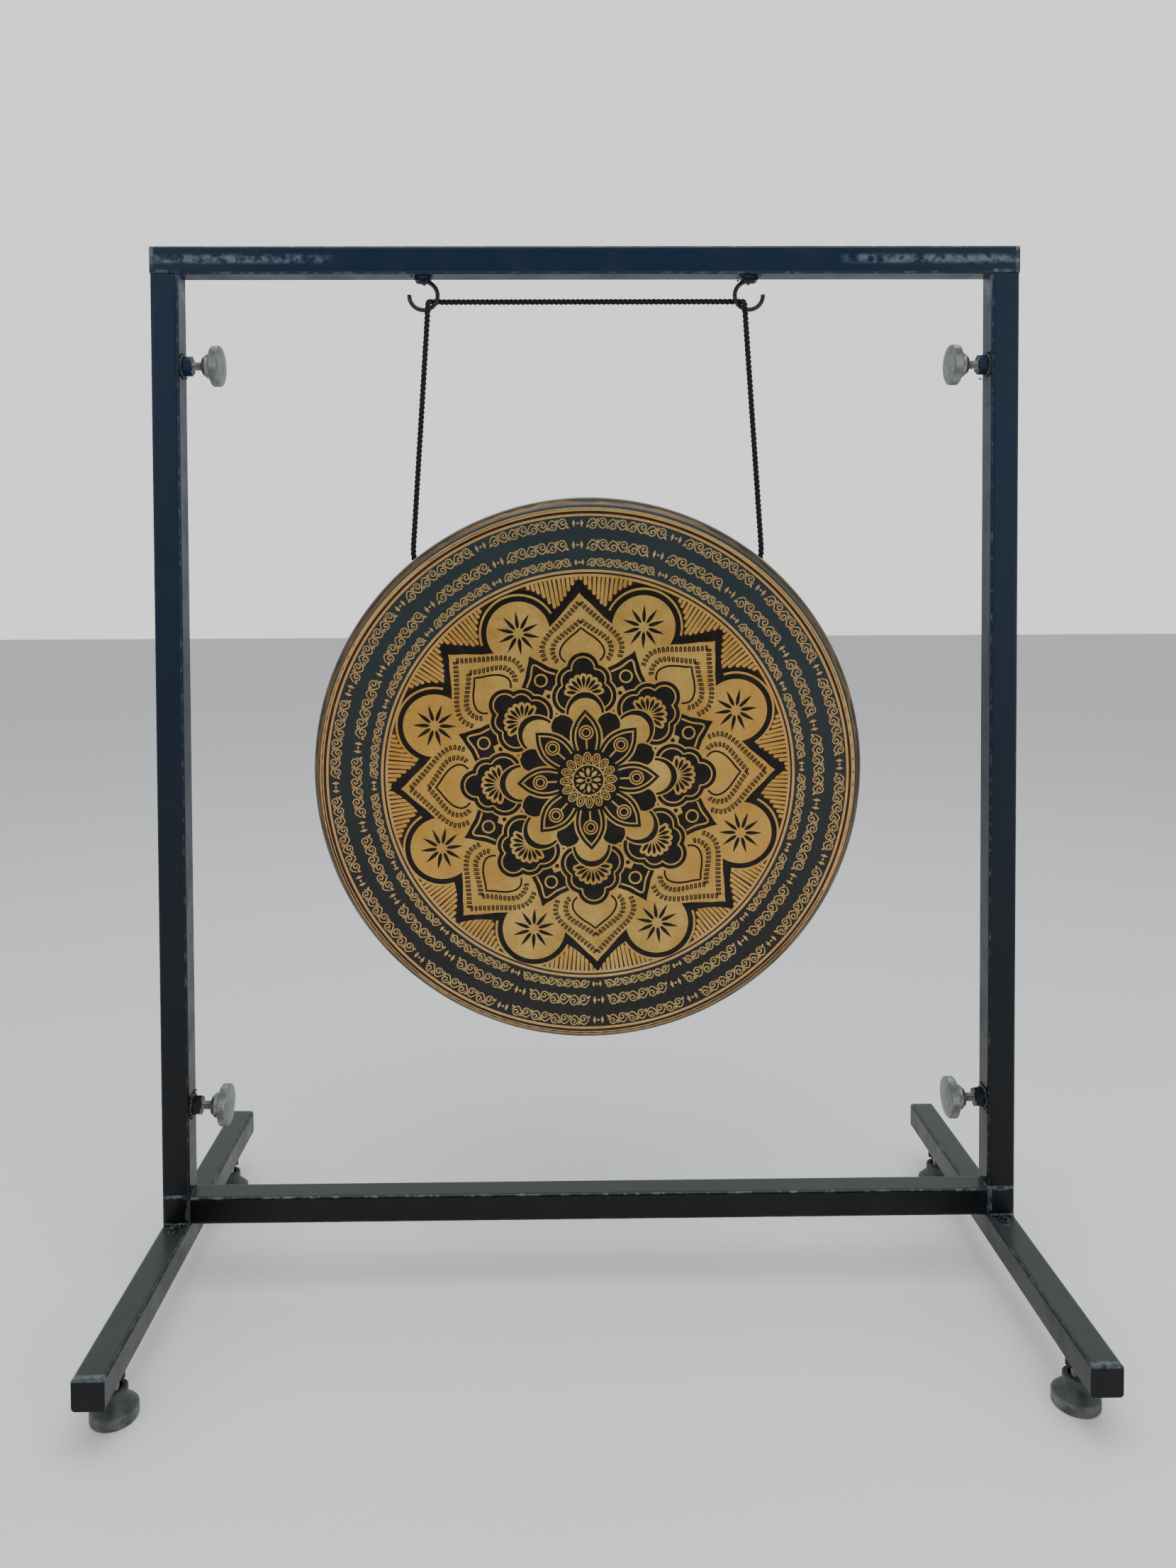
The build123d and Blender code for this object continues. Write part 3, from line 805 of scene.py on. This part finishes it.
plate(gold, tab(1.5), 12.4, aside([[0, 52.0]])[0])
plate(black, tab(0.0), 13, aside([[0, 52.0]])[0])
for kind, extra, height, middle in ((gold, 1.7, 14, 42), (black, 0.0, 14.6, 42), (gold, -2.6, 15.2, 41),
                                    (black, -4.1, 15.8, 40)):
    plate(kind, lens(extra), height, (0, middle))
for kind, radius, height in ((gold, 6.75, 16.4), (brown, 5.45, 17), (gold, 4.2, 17.6), (black, 3.0, 18.2)):
    plate(kind, circle((0, 43.5), radius, 30), height)
stroke(gold, [(0, 27), (0, 31), (0, 37.6)], 1.6, 16.4)

mandala_middle = np.array([-0.5, -4.6])
tilt = math.radians(2.64)
rosette_height = 19.4
whole_gold, whole_black, whole_brown = Coat(), Coat(), Coat()
band(whole_gold, 40, 139, 3.2, 240)
for whole, one in ((whole_gold, gold), (whole_black, black), (whole_brown, brown)):
    whole.around(one, [tilt + k * math.pi / 4 for k in range(8)])
plate(whole_black, circle((0, 0), 47, 96), 13.6, (0, 0))
plate(whole_black, circle((0, 0), 28.5, 72), 18.8, (0, 0))
for i in range(16):
    for radii, brush in (((3.3, 5.0), 1.1), ((1.3, 2.9), 0.9)):
        loop = turned_by(circle((0, 20.4), radii, 20), tilt + 2 * np.pi * i / 16)
        stroke(whole_gold, loop, brush, rosette_height, closed=True)
stroke(whole_gold, circle((0, 0), 14.2, 60), 1.4, rosette_height, closed=True)
for i in range(8):
    for shape, out_by, share in ((leaf(8.0, 3.6, 1.35), 3.4, i), (leaf(3.4, 1.2, 1.0), 9.2, i + 0.5)):
        plate(whole_gold, turned_by(shape + [0, out_by], tilt + share * math.pi / 4), rosette_height)
stroke(whole_gold, circle((0, 0), 2.4, 20), 0.9, rosette_height, closed=True)
whole_gold.lay("gold_flower", leaf_gold, "gong_gold", mandala_middle)
whole_black.lay("black_flower", lacquer, "gong_bronze", mandala_middle)
whole_brown.lay("brown_eyes", red_brown, "gong_bronze", mandala_middle)

# ---- Fringe round the flower ------------------------------------------------------------------------
# Short gold tongues, at most 280, hang inwards from the inner ring over a dark red-brown ground. They are
# shorter, or left out, where the big circles and pointed petals come close.

ring_middle = np.array([-0.5, -1.8])


def fringe_end(angle):
    """How near the middle a tongue reaches at an angle: outside a 36.8 mm circle at 147 mm, outside the
    pointed petal, which rises from 155 to 180.6 mm on its axis."""
    circle_reach = 0.2513
    off = np.abs((angle - tilt + half) % (2 * half) - half)
    c = np.minimum(half - off, circle_reach)
    round_circle = 147 * np.cos(c) + np.sqrt(np.maximum(36.8**2 - (147 * np.sin(c)) ** 2, 0))
    round_circle = np.where(half - off < circle_reach, round_circle, 0)
    petal = 155.0 + 25.6 * np.clip(1 - off / math.radians(7.9), 0, 1) ** 1.2
    return np.maximum(round_circle, petal)


tongues, ground = Coat(), Coat()
around = np.linspace(0, 2 * np.pi, 720, endpoint=False)
band(ground, np.minimum(fringe_end(around + math.pi / 2) - 0.9, 181.2), 181.6, 0.6, 720)
count, root, shortest = 280, 181.6, 178.5
draw = np.random.default_rng(11)
for i in range(count):
    angle = tilt + 2 * np.pi * (i + 0.5) / count
    end = fringe_end(np.array(angle)) + draw.uniform(-0.4, 0.4)
    if end > shortest:
        continue
    arc = np.linspace(0, np.pi, 6)
    wide = 0.415 * 2 * np.pi * (end + 1.6) / count
    bulb = np.stack([wide * np.cos(arc), end + wide - wide * np.sin(arc)], -1)
    tongue = np.concatenate([[(-1.3, root)], bulb[::-1], [(1.3, root)]])
    plate(tongues, turned_by(tongue, angle + draw.normal(0, 0.0007)), 1.4)
ground.lay("fringe_ground", red_brown, "gong_bronze", ring_middle)
tongues.lay("fringe_tongues", leaf_gold, "gong_gold", ring_middle)

# ---- Rings and scrolled border ----------------------------------------------------------------------
# Two double gold rings with a dark line between them, and three rows of running scrolls in the field
# between. The scrolls are plain ornament, brushed on in groups with a small lozenge after each group.

rings, gaps, scrolls = Coat(), Coat(), Coat()
for inner, outer in ((181.0, 183.3), (185.0, 187.3), (234.8, 237.0), (239.4, 242.8)):
    band(rings, inner, outer, 2.2)
band(gaps, 183.2, 185.1, 1.6)
band(gaps, 236.9, 239.5, 1.6)

def on_row(points, radius, angle):
    """Points of a motif (x along the row, y outwards) bent round the face, clockwise from the top."""
    points = np.asarray(points, float)
    around = math.pi / 2 - angle - points[:, 0] / radius
    return (radius + points[:, 1])[:, None] * np.stack([np.cos(around), np.sin(around)], -1)


def curl(size, turns, flip):
    """A spiral that tightens: distance falls evenly from size to a fifth of it over a number of turns."""
    t = np.linspace(0, 1, 15)
    r = size * (1 - 0.80 * t)
    a = 2 * np.pi * turns * t
    return np.stack([-r * np.cos(a), flip * r * np.sin(a)], -1)


def vine(period, tall):
    """One period of a running scroll of a height: a stem, y = 0.42 tall sin(2 pi x / period), and two curls
    that spring from it, one under its crest and one over its trough. Returns lines, then small leaves."""
    x = np.linspace(-0.02, 1.02, 17) * period
    stem = np.stack([x, 0.42 * tall * np.sin(2 * np.pi * x / period)], -1)
    low = curl(0.38 * tall, 1.35, -1) + [0.28 * period, -0.14 * tall]
    high = curl(0.38 * tall, 1.35, 1) + [0.78 * period, 0.14 * tall]
    tips = ((0.5, 0.53, 0.14), (2.6, 0.03, -0.14), (-0.7, 0.44, 0.20), (-2.4, 0.94, -0.20))
    leaves = [turned_by(leaf(0.34 * tall, 0.21 * tall), turn, (share * period, place * tall))
              for turn, share, place in tips]
    return [stem, low, high], leaves


for radius, tall, units, group in ((193.8, 7.8, 80, 5), (209.3, 10.6, 72, 4), (228.5, 10.0, 80, 5)):
    period = 2 * np.pi * radius / units
    lines, leaves = vine(period * 0.985, tall)
    lozenge = np.array([(0, 0.36 * tall), (1.5, 0), (0, -0.36 * tall), (-1.5, 0)])
    for i in range(units):
        angle = 2 * np.pi * i / units
        if i % group == group - 1:
            for step in (0.30, 0.70):
                plate(scrolls, on_row(lozenge + [step * period, 0], radius, angle), 1.4)
            plate(scrolls, on_row(circle((period / 2, 0), 1.1, 8), radius, angle), 1.4)
            continue
        for line_of in lines:
            stroke(scrolls, on_row(line_of, radius, angle), 1.15, 1.4, taper=0.3)
        for shape in leaves:
            plate(scrolls, on_row(shape, radius, angle), 1.5)
rings.lay("gold_rings", leaf_gold, "gong_gold", ring_middle)
gaps.lay("ring_gaps", red_brown, "gong_bronze", ring_middle)
scrolls.lay("scrolled_border", leaf_gold, "gong_gold", ring_middle)

# ---- Stand ------------------------------------------------------------------------------------------
# Welded square steel tube, 25 mm, in a thin coat of satin navy-black enamel, painted lighter and bluer
# towards the top as a painted reflection of the light above. The enamel is scuffed along the tubes' edges,
# and chipped and smeared where it was welded and ground; pale painted highlights lie along parts of the beam
# and the leg ends.


def edge_scuffs():
    """Shader group: worn patches where both distances from a tube's middle line are near half its width."""
    group, given, result = make_group(
        "edge_scuffs", {"Across": 0.0, "Up": 0.0, "Half width": 0.0125, "Amount": 0.5}, ("Mask",))
    near = math_node(group, "SUBTRACT", given["Half width"], 0.0024)
    edges = []
    for label in ("Across", "Up"):
        rise = group.nodes.new("ShaderNodeMapRange")
        rise.interpolation_type = "SMOOTHSTEP"
        join(group, (given[label], rise.inputs["Value"]), (near, rise.inputs["From Min"]),
             (given["Half width"], rise.inputs["From Max"]))
        edges.append(rise.outputs["Result"])
    worn, _ = clouds(group, given["Vector"], 85.0, 0.56, 0.07, 900.0)
    join(group, (times(group, *edges, worn, given["Amount"]), result["Mask"]))
    return group


scuff_group = edge_scuffs()


def enamel(name, across=None, up=None, amount=0.0, smears_and_highlights=(), dusty_above=None):
    """The stand's enamel, painted lighter and bluer towards the top as a painted reflection. Across and up
    are (axis, middle) of the tube's cross-section, the axis measured as a distance from zero. Each pale patch
    is a list of (axis, low, high, softness) bounds; some are rubbed smears, others painted highlights. And
    dusty_above is the height of a tube's upper face, where dust has settled."""
    material, tree, shader = principled(name, (0.015, 0.022, 0.034), 0.34)
    settle(shader, Specular_IOR_Level=0.16, Coat_Weight=0.10, Coat_Roughness=0.22)
    place = own_place(tree)
    x, y, z = x_y_z(tree, place)
    out = {axis: math_node(tree, "ABSOLUTE", value) for axis, value in (("X", x), ("Y", y), ("Z", z))}
    # Painted reflection: the enamel is painted lighter and bluer towards the top, near-black low down.
    tone = over(tree, span(tree, z, 0.10, 0.80), (0.0028, 0.0034, 0.0042), (0.0100, 0.0225, 0.0460))
    dust, dust_grain = clouds(tree, place, 22.0, 0.55, 0.22, 650.0)
    pits, _ = clouds(tree, place, 240.0, 0.69, 0.03, 1500.0)
    dusted = over(tree, times(tree, dust, 0.22), tone, (0.014, 0.020, 0.028))
    colour = over(tree, times(tree, pits, 0.35), dusted, (0.12, 0.14, 0.16))
    if dusty_above:
        near_top = span(tree, z, dusty_above - 0.0016, dusty_above - 0.0004)
        settled = times(tree, near_top, span(tree, dust, 0.0, 1.0, 0.75, 1.0))
        colour = over(tree, settled, colour, (0.040, 0.048, 0.046))
    if across:
        edge = place_group(tree, scuff_group, place, Amount=amount)
        for label, (axis, middle) in (("Across", across), ("Up", up)):
            off = math_node(tree, "ABSOLUTE", math_node(tree, "SUBTRACT", out[axis], middle))
            join(tree, (off, edge.inputs[label]))
        colour = over(tree, edge.outputs["Mask"], colour, (0.30, 0.33, 0.35))
    # Pale patches: rubbed smears, and painted highlights along some edges.
    for pale_patch in smears_and_highlights:
        bounds = [span(tree, out[axis], bound - soft, bound + soft)
                  for axis, low, high, blur in pale_patch for bound, soft in ((low, blur), (high, -blur))]
        rough, _ = clouds(tree, place, 130.0, 0.50, 0.12, 900.0)
        colour = over(tree, times(tree, *bounds, 0.7, rough), colour, (0.16, 0.20, 0.22))
    feed(tree, shader, math_node(tree, "ADD", dust_grain, times(tree, pits, 0.6)), 0.22, 0.0004,
         Base_Color=colour, Roughness=span(tree, dust, 0, 1, 0.27, 0.44))
    return material


leg_x, bar_z, beam_z, leg_z = 0.3775, 0.0775, 0.9375, 0.0525
# Painted highlights: the first beam patch, a streak along the front near each end, and the last, a line along
# the beam's lower edge above each column.
beam_smears_and_highlights = [[("X", 0.235, 0.386, 0.014), ("Z", 0.9345, 0.9415, 0.0022)],
               [("X", 0.3865, 0.395, 0.001), ("Z", 0.92, 0.96, 0.001)],
               [("X", 0.366, 0.385, 0.002), ("Z", 0.924, 0.9285, 0.0010)]]
column_smears = [[("X", 0.36, 0.395, 0.001), ("Z", 0.086, 0.0925, 0.0008)],
                 [("X", 0.3635, 0.3656, 0.0004), ("Z", 0.905, 0.93, 0.008)]]
corner_smears = [[("X", 0.362, 0.3685, 0.001), ("Z", 0.070, 0.092, 0.002)],
                 [("X", 0.3885, 0.3905, 0.0005), ("Z", 0.066, 0.090, 0.002)]]
# Painted highlight: a thin pale line along the top edge of each leg's end.
leg_painted_highlights = [[("Y", 0.2085, 0.2130, 0.001), ("Z", 0.0622, 0.0655, 0.0008)]]
beam_enamel = enamel("beam_enamel", ("Y", 0.0), ("Z", beam_z), 0.55, beam_smears_and_highlights, dusty_above=0.9500)
column_enamel = enamel("column_enamel", ("X", leg_x), ("Y", 0.0), 0.40, column_smears)
crossbar_enamel = enamel("crossbar_enamel", ("Y", 0.0), ("Z", bar_z), 0.85, dusty_above=0.0900)
corner_enamel = enamel("corner_enamel", ("Y", 0.0), ("Z", bar_z), 0.35, corner_smears)
leg_enamel = enamel("leg_enamel", ("X", leg_x), ("Z", leg_z), 0.45, leg_painted_highlights, dusty_above=0.0650)
plain_enamel = enamel("fitting_enamel")
zinc, _ = mottled("drawn_zinc_steel", (0.30, 0.31, 0.31), 0.38, 0.9, (60.0, 0.52, 0.2, 1100.0),
                  ((0.22, 0.225, 0.225), (0.37, 0.38, 0.38)), (0.3, 0.7, 0.28, 0.50), (0.2, 0.0002))
for side in sides:
    for piece, material in (("column", column_enamel), ("leg", leg_enamel), ("corner_block", corner_enamel),
                            ("hook_pad", plain_enamel), ("base_spigot", zinc), ("top_spigot", zinc)):
        finish_node(f"{side}_{piece}", material)
for piece, material in (("crossbar", crossbar_enamel), ("leg_end_plates", leg_enamel),
                        ("top_beam", beam_enamel), ("beam_end_plates", beam_enamel)):
    finish_node(piece, material)

# ---- Welds ------------------------------------------------------------------------------------------
# Hand-run beads where the tubes, nuts and hook pads were joined, painted over with the stand. They are
# rippled, uneven and a little glossier than the tube, and the nuts have drops of spatter round them. The two
# dark flows on each leg's top in front of its corner block are a painted reflection of the block in the
# glossy enamel, made as weld metal.

weld, _ = mottled("painted_weld", (0.012, 0.014, 0.017), 0.24, 0.0, (190.0, 0.60, 0.08, 1200.0),
                  ((0.008, 0.010, 0.013), (0.11, 0.125, 0.135)), (0.3, 0.7, 0.16, 0.42), (0.5, 0.0006))
hand = np.random.default_rng(23)


def bead(name, path, radius, body, closed=False):
    """A weld bead: a round profile along a path whose radius swells with each ripple,
    radius * (1 + 0.16 |sin(pi s / pitch)| + a little chance), with both ends drawn in."""
    step, pitch, cells = 0.0005, 0.0021, 10
    path = np.asarray(path, float)
    run = np.concatenate([[0], np.cumsum(np.linalg.norm(np.diff(path, axis=0), axis=1))])
    s = np.linspace(0, run[-1], max(12, int(run[-1] / step)), endpoint=not closed)
    middle = np.stack([np.interp(s, run, path[:, k]) for k in range(3)], -1)
    middle = middle + hand.normal(0, radius * 0.05, middle.shape)
    angles = np.linspace(0, 2 * np.pi, cells, endpoint=False)
    swell = 1 + 0.16 * np.abs(np.sin(np.pi * s / pitch)) + hand.normal(0, 0.05, len(s))
    ends = 1.0 if closed else np.sqrt(np.clip(np.minimum(s, run[-1] - s) / radius, 0.02, 1))
    radii = (radius * swell * ends)[:, None] * (1 + hand.normal(0, 0.04, (len(s), cells)))
    if not closed:
        return build(name, *capped(carried(middle, radii, angles)), body, weld, "stand_paint")
    out = unit(middle - middle.mean(0))
    axis = unit(np.cross(out, unit(np.roll(middle, -1, 0) - np.roll(middle, 1, 0))))
    grid = rings_along(middle, radii, angles, out, axis)
    quads = lattice(*grid.shape[:2], round_rows=True)[:, ::-1]
    return build(name, grid.reshape(-1, 3), quads, [], body, weld, "stand_paint")


def spatter(name, middle, axis, reach, count, body):
    """Weld drops on a flat face round a nut, thickest near it. Axis is 1, 2 or 3 for X, Y or Z, with the way
    the face looks as its sign. A drop is two rings of six points and two caps, 0.85 of its radius high."""
    turns = np.linspace(0, 2 * np.pi, 6, endpoint=False)
    flat_ring = np.stack([np.cos(turns), np.sin(turns), 0 * turns], -1)
    tips = [[0, 0, 0.85], [0, 0, -0.3]]
    shape = np.concatenate([flat_ring - [0, 0, 0.3], flat_ring * 0.65 + [0, 0, 0.6], tips])
    along = abs(axis) - 1
    across = [k for k in range(3) if k != along]
    far = reach * (1 + hand.exponential(0.22, count))
    turn = hand.uniform(0, 2 * np.pi, count)
    radius = hand.uniform(0.0005, 0.0014, count)[:, None]
    points = np.zeros((count, len(shape), 3))
    points[..., across[0]] = (far * np.cos(turn))[:, None] + radius * shape[:, 0]
    points[..., across[1]] = (far * np.sin(turn)).clip(-0.0105, 0.0105)[:, None] + radius * shape[:, 1]
    points[..., along] = radius * shape[:, 2] * (1 if axis > 0 else -1)
    j = np.arange(6)
    nxt = (j + 1) % 6
    quads = np.stack([j, nxt, 6 + nxt, 6 + j], -1)
    caps = np.concatenate([np.stack(cap, -1) for cap in ((6 + j, 6 + nxt, 0 * j + 12), (nxt, j, 0 * j + 13))])
    if (axis > 0) == (along == 1):
        quads, caps = quads[:, ::-1], caps[:, ::-1]
    offset = (np.arange(count) * len(shape))[:, None, None]
    points = (points + middle).reshape(-1, 3)
    return build(name, points, quads + offset, caps + offset, body, weld, "stand_paint")


def ring_path(middle, axis, radii):
    """Points round an ellipse square to an axis (0, 1 or 2) about a middle, the last on the first."""
    cells = 72
    angle = np.linspace(0, 2 * np.pi, cells)
    points = np.zeros((cells, 3))
    across = [k for k in range(3) if k != axis]
    points[:, across] = np.stack([np.cos(angle), np.sin(angle)], -1) * radii
    return points + middle


def node_body(name):
    """The body that a carried-over part rides on."""
    return nodes[name]["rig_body"]


ends = {"front": -1, "rear": 1}
foot_y, half_tube = 0.1625, 0.0126
screw_levels = {"upper": 0.845, "lower": 0.170}
for side, way in sides.items():
    inner, outer = way * 0.3655, way * 0.3890
    for end, fore in ends.items():
        y = fore * half_tube
        across = [(inner, y, 0.0656), ((inner + outer) / 2, y * 1.06, 0.0656), (outer, y, 0.0656)]
        bead(f"{side}_{end}_leg_weld", across, 0.0021, "base")
        seam = [(inner, y * 0.985, 0.0665), (inner, y * 0.99, 0.0885)]
        bead(f"{side}_{end}_seam_weld", seam, 0.0011, "base")
    bead(f"{side}_bar_end_weld", [(inner, -0.011, 0.0897), (inner, 0.011, 0.0897)], 0.0009, "base")
    bead(f"{side}_under_bar_weld", [(way * 0.3648, y, 0.0652) for y in (-0.010, 0.010)], 0.0018, "base")
    for level, z in screw_levels.items():
        name = f"{level}_{side}_screw_nut"
        face_at = (way * 0.3647, 0, z)
        bead(f"{level}_{side}_nut_weld", ring_path(face_at, 0, 0.0090), 0.0015, node_body(name), closed=True)
        spatter(f"{level}_{side}_spatter", face_at, -way, 0.0105, 26, node_body(name))
        finish_node(name, plain_enamel)
    for end, fore in ends.items():
        name = f"{end}_{side}_foot_nut"
        seam = ring_path((way * leg_x, fore * foot_y, 0.0400), 2, 0.0089)
        bead(f"{end}_{side}_foot_nut_weld", seam, 0.0014, node_body(name), closed=True)
        finish_node(name, plain_enamel)
    pad_at = (way * 0.1475, 0, 0.9243)
    bead(f"{side}_hook_weld", ring_path(pad_at, 2, (0.0066, 0.0056)), 0.0014, "beam", closed=True)
    hook_root = [(way * 0.1500, 0, 0.9212), (way * 0.1475, 0, 0.9206), (way * 0.1440, 0, 0.9209)]
    bead(f"{side}_hook_root_weld", hook_root, 0.0026, "beam")
    spatter(f"{side}_hook_spatter", pad_at, -3, 0.0080, 10, "beam")
    # Painted reflection: these dark flows on each leg's top, in front of the corner block, stand for the
    # block's reflection in the glossy enamel.
    for name, radius, flow in (
            ("leg_flow", 0.0026, ((0.3735, -0.0145, 0.0640), (0.3745, -0.020, 0.0641),
                                  (0.3765, -0.030, 0.0644))),
            ("leg_flow_side", 0.0024, ((0.3800, -0.0145, 0.0640), (0.3790, -0.021, 0.0641),
                                       (0.3775, -0.031, 0.0643)))):
        bead(f"{side}_{name}", np.array(flow) * [way, 1, 1], radius, "base")

# ---- Hooks ------------------------------------------------------------------------------------------
# 4 mm wire bent to an open ring and welded under the beam, in the same enamel, polished by the cord inside.

hook_gloss, _ = mottled("hook_enamel", (0.008, 0.009, 0.011), 0.20, 0.0, (210.0, 0.63, 0.05, 1400.0),
                        ((0.008, 0.009, 0.011), (0.10, 0.105, 0.11)), (0.3, 0.7, 0.14, 0.32), (0.3, 0.0004))
for side in sides:
    finish_node(f"{side}_hook", hook_gloss)

# ---- Thumb screws -----------------------------------------------------------------------------------
# Each clamp is an M8 screw with a turned steel head: a stepped collar and a disc with a straight-knurled rim
# and a slightly crowned face. Dull grey plating.

knob_steel, _ = mottled("dull_plate", (0.22, 0.23, 0.225), 0.36, 0.92, (120.0, 0.50, 0.18, 1600.0),
                        ((0.15, 0.158, 0.152), (0.27, 0.28, 0.27)), (0.3, 0.7, 0.32, 0.52), (0.3, 0.0003))


def turned_solid(profile, cells, ripple, start, axis, name, body, material, slot):
    """A turned piece: at each angle a, the profile (radius, along) is set out at radius - ripple(a, row) from
    its axis, which starts at a point and runs along a unit vector. Its first and last rows are closed."""
    profile = np.asarray(profile, float)
    angle = np.linspace(0, 2 * np.pi, cells, endpoint=False)
    axis = np.asarray(axis, float)
    one = np.array([0, 1.0, 0]) if abs(axis[1]) < 0.5 else np.array([1.0, 0, 0])
    other = np.cross(axis, one)
    radii = profile[:, :1] - ripple(angle[None, :], np.arange(len(profile))[:, None])
    ring = np.cos(angle)[:, None] * one + np.sin(angle)[:, None] * other
    grid = np.asarray(start) + radii[..., None] * ring + profile[:, 1, None, None] * axis
    obj = build(name, *capped(grid), body, material, slot)
    obj.data.set_sharp_from_angle(angle=math.radians(32))
    return obj


def threaded(name, start, axis, length, body, replaced):
    """An M8 thread: radius 4 mm less 0.6 mm times a triangle wave of (along / pitch - angle / 2 pi), with the
    thread fading out over its last turn at both ends."""
    pitch, outer, depth = 0.00125, 0.0040, 0.0006
    along = np.linspace(0, length, int(length / pitch * 7))
    fade = np.clip(np.minimum(along, length - along) / pitch, 0.25, 1)

    def groove(angle, row):
        phase = (along[row] / pitch - angle / (2 * np.pi)) % 1
        return depth * np.abs(2 * phase - 1) + (1 - fade[row]) * depth

    profile = np.stack([np.full(len(along), outer), along], -1)
    obj = turned_solid(profile, 20, groove, start, axis, name, body, zinc, "stud_steel")
    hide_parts(replaced)


teeth, knurl_depth = 76, 0.00045
edge_of = [(0.0, 0.0), (0.0062, 0.0), (0.0080, 0.0), (0.0086, 0.0009), (0.0102, 0.0030), (0.0108, 0.0034),
           (0.0109, 0.0060), (0.0110, 0.0082), (0.0135, 0.0082), (0.0168, 0.0082), (0.0176, 0.0086),
           (0.0182, 0.0094), (0.0182, 0.0100), (0.0182, 0.0120), (0.0182, 0.0142), (0.0182, 0.0150),
           (0.0176, 0.0157), (0.0169, 0.0162), (0.0150, 0.0165), (0.0120, 0.01695), (0.0085, 0.0174),
           (0.0045, 0.0177), (0.0012, 0.0178)]
knurled = np.array([1.0 if r > 0.0181 else 0.35 if r > 0.0175 else 0.0 for r, _ in edge_of])


def knurl(angle, row):
    """Straight knurling: its depth times a triangle wave, on the rim only."""
    return knurl_depth * knurled[row] * np.abs(2 * ((angle * teeth / (2 * np.pi)) % 1) - 1)


for side, way in sides.items():
    for level, z in screw_levels.items():
        stem, inwards = f"{level}_{side}_screw", (-way, 0, 0)
        stud = f"{stem}_stud"
        threaded(f"{stem}_thread", (way * 0.3672, 0, z), inwards, 0.0326, node_body(stud), stud)
        head = turned_solid(edge_of, teeth * 4, knurl, (way * 0.3465, 0, z), inwards, f"{stem}_head",
                            node_body(f"{stem}_knob"), knob_steel, "knob_steel")
        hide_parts(f"{stem}_knob")

# ---- Levelling feet ---------------------------------------------------------------------------------
# Moulded black nylon pads on M8 studs: an upright rim, a sloping shoulder and a boss with a sunk mouth,
# painted near-black inside as painted shade.
# Dusty, with the rims rubbed paler where they stand on the floor.

nylon, tree, shader = principled("foot_nylon", (0.045, 0.050, 0.052), 0.55)
place = own_place(tree)
x, y, z = x_y_z(tree, place)
from_stud = long_side(tree, *(math_node(tree, "SUBTRACT", math_node(tree, "ABSOLUTE", value), middle)
                              for value, middle in ((x, leg_x), (y, foot_y))))
dust, grain = clouds(tree, place, 95.0, 0.48, 0.2, 1300.0)
tone = over(tree, dust, (0.026, 0.030, 0.032), (0.060, 0.066, 0.066))
rim = times(tree, span(tree, from_stud, 0.0168, 0.0186), dust, 0.75)
# Painted shade: the sunk mouth round the stud is painted near-black.
painted_shade_in_mouth = span(tree, from_stud, 0.0072, 0.0060)
feed(tree, shader, grain, 0.3, 0.0004, Roughness=span(tree, grain, 0.3, 0.7, 0.42, 0.68),
     Base_Color=over(tree, painted_shade_in_mouth, over(tree, rim, tone, (0.17, 0.18, 0.17)), (0.006, 0.006, 0.006)))
for side, way in sides.items():
    for end, fore in ends.items():
        stem = f"{end}_{side}_foot"
        finish_node(f"{stem}_pad", nylon)
        threaded(f"{stem}_thread", (way * leg_x, fore * foot_y, 0.0063), (0, 0, 1), 0.0517,
                 node_body(f"{stem}_stud"), f"{stem}_stud")
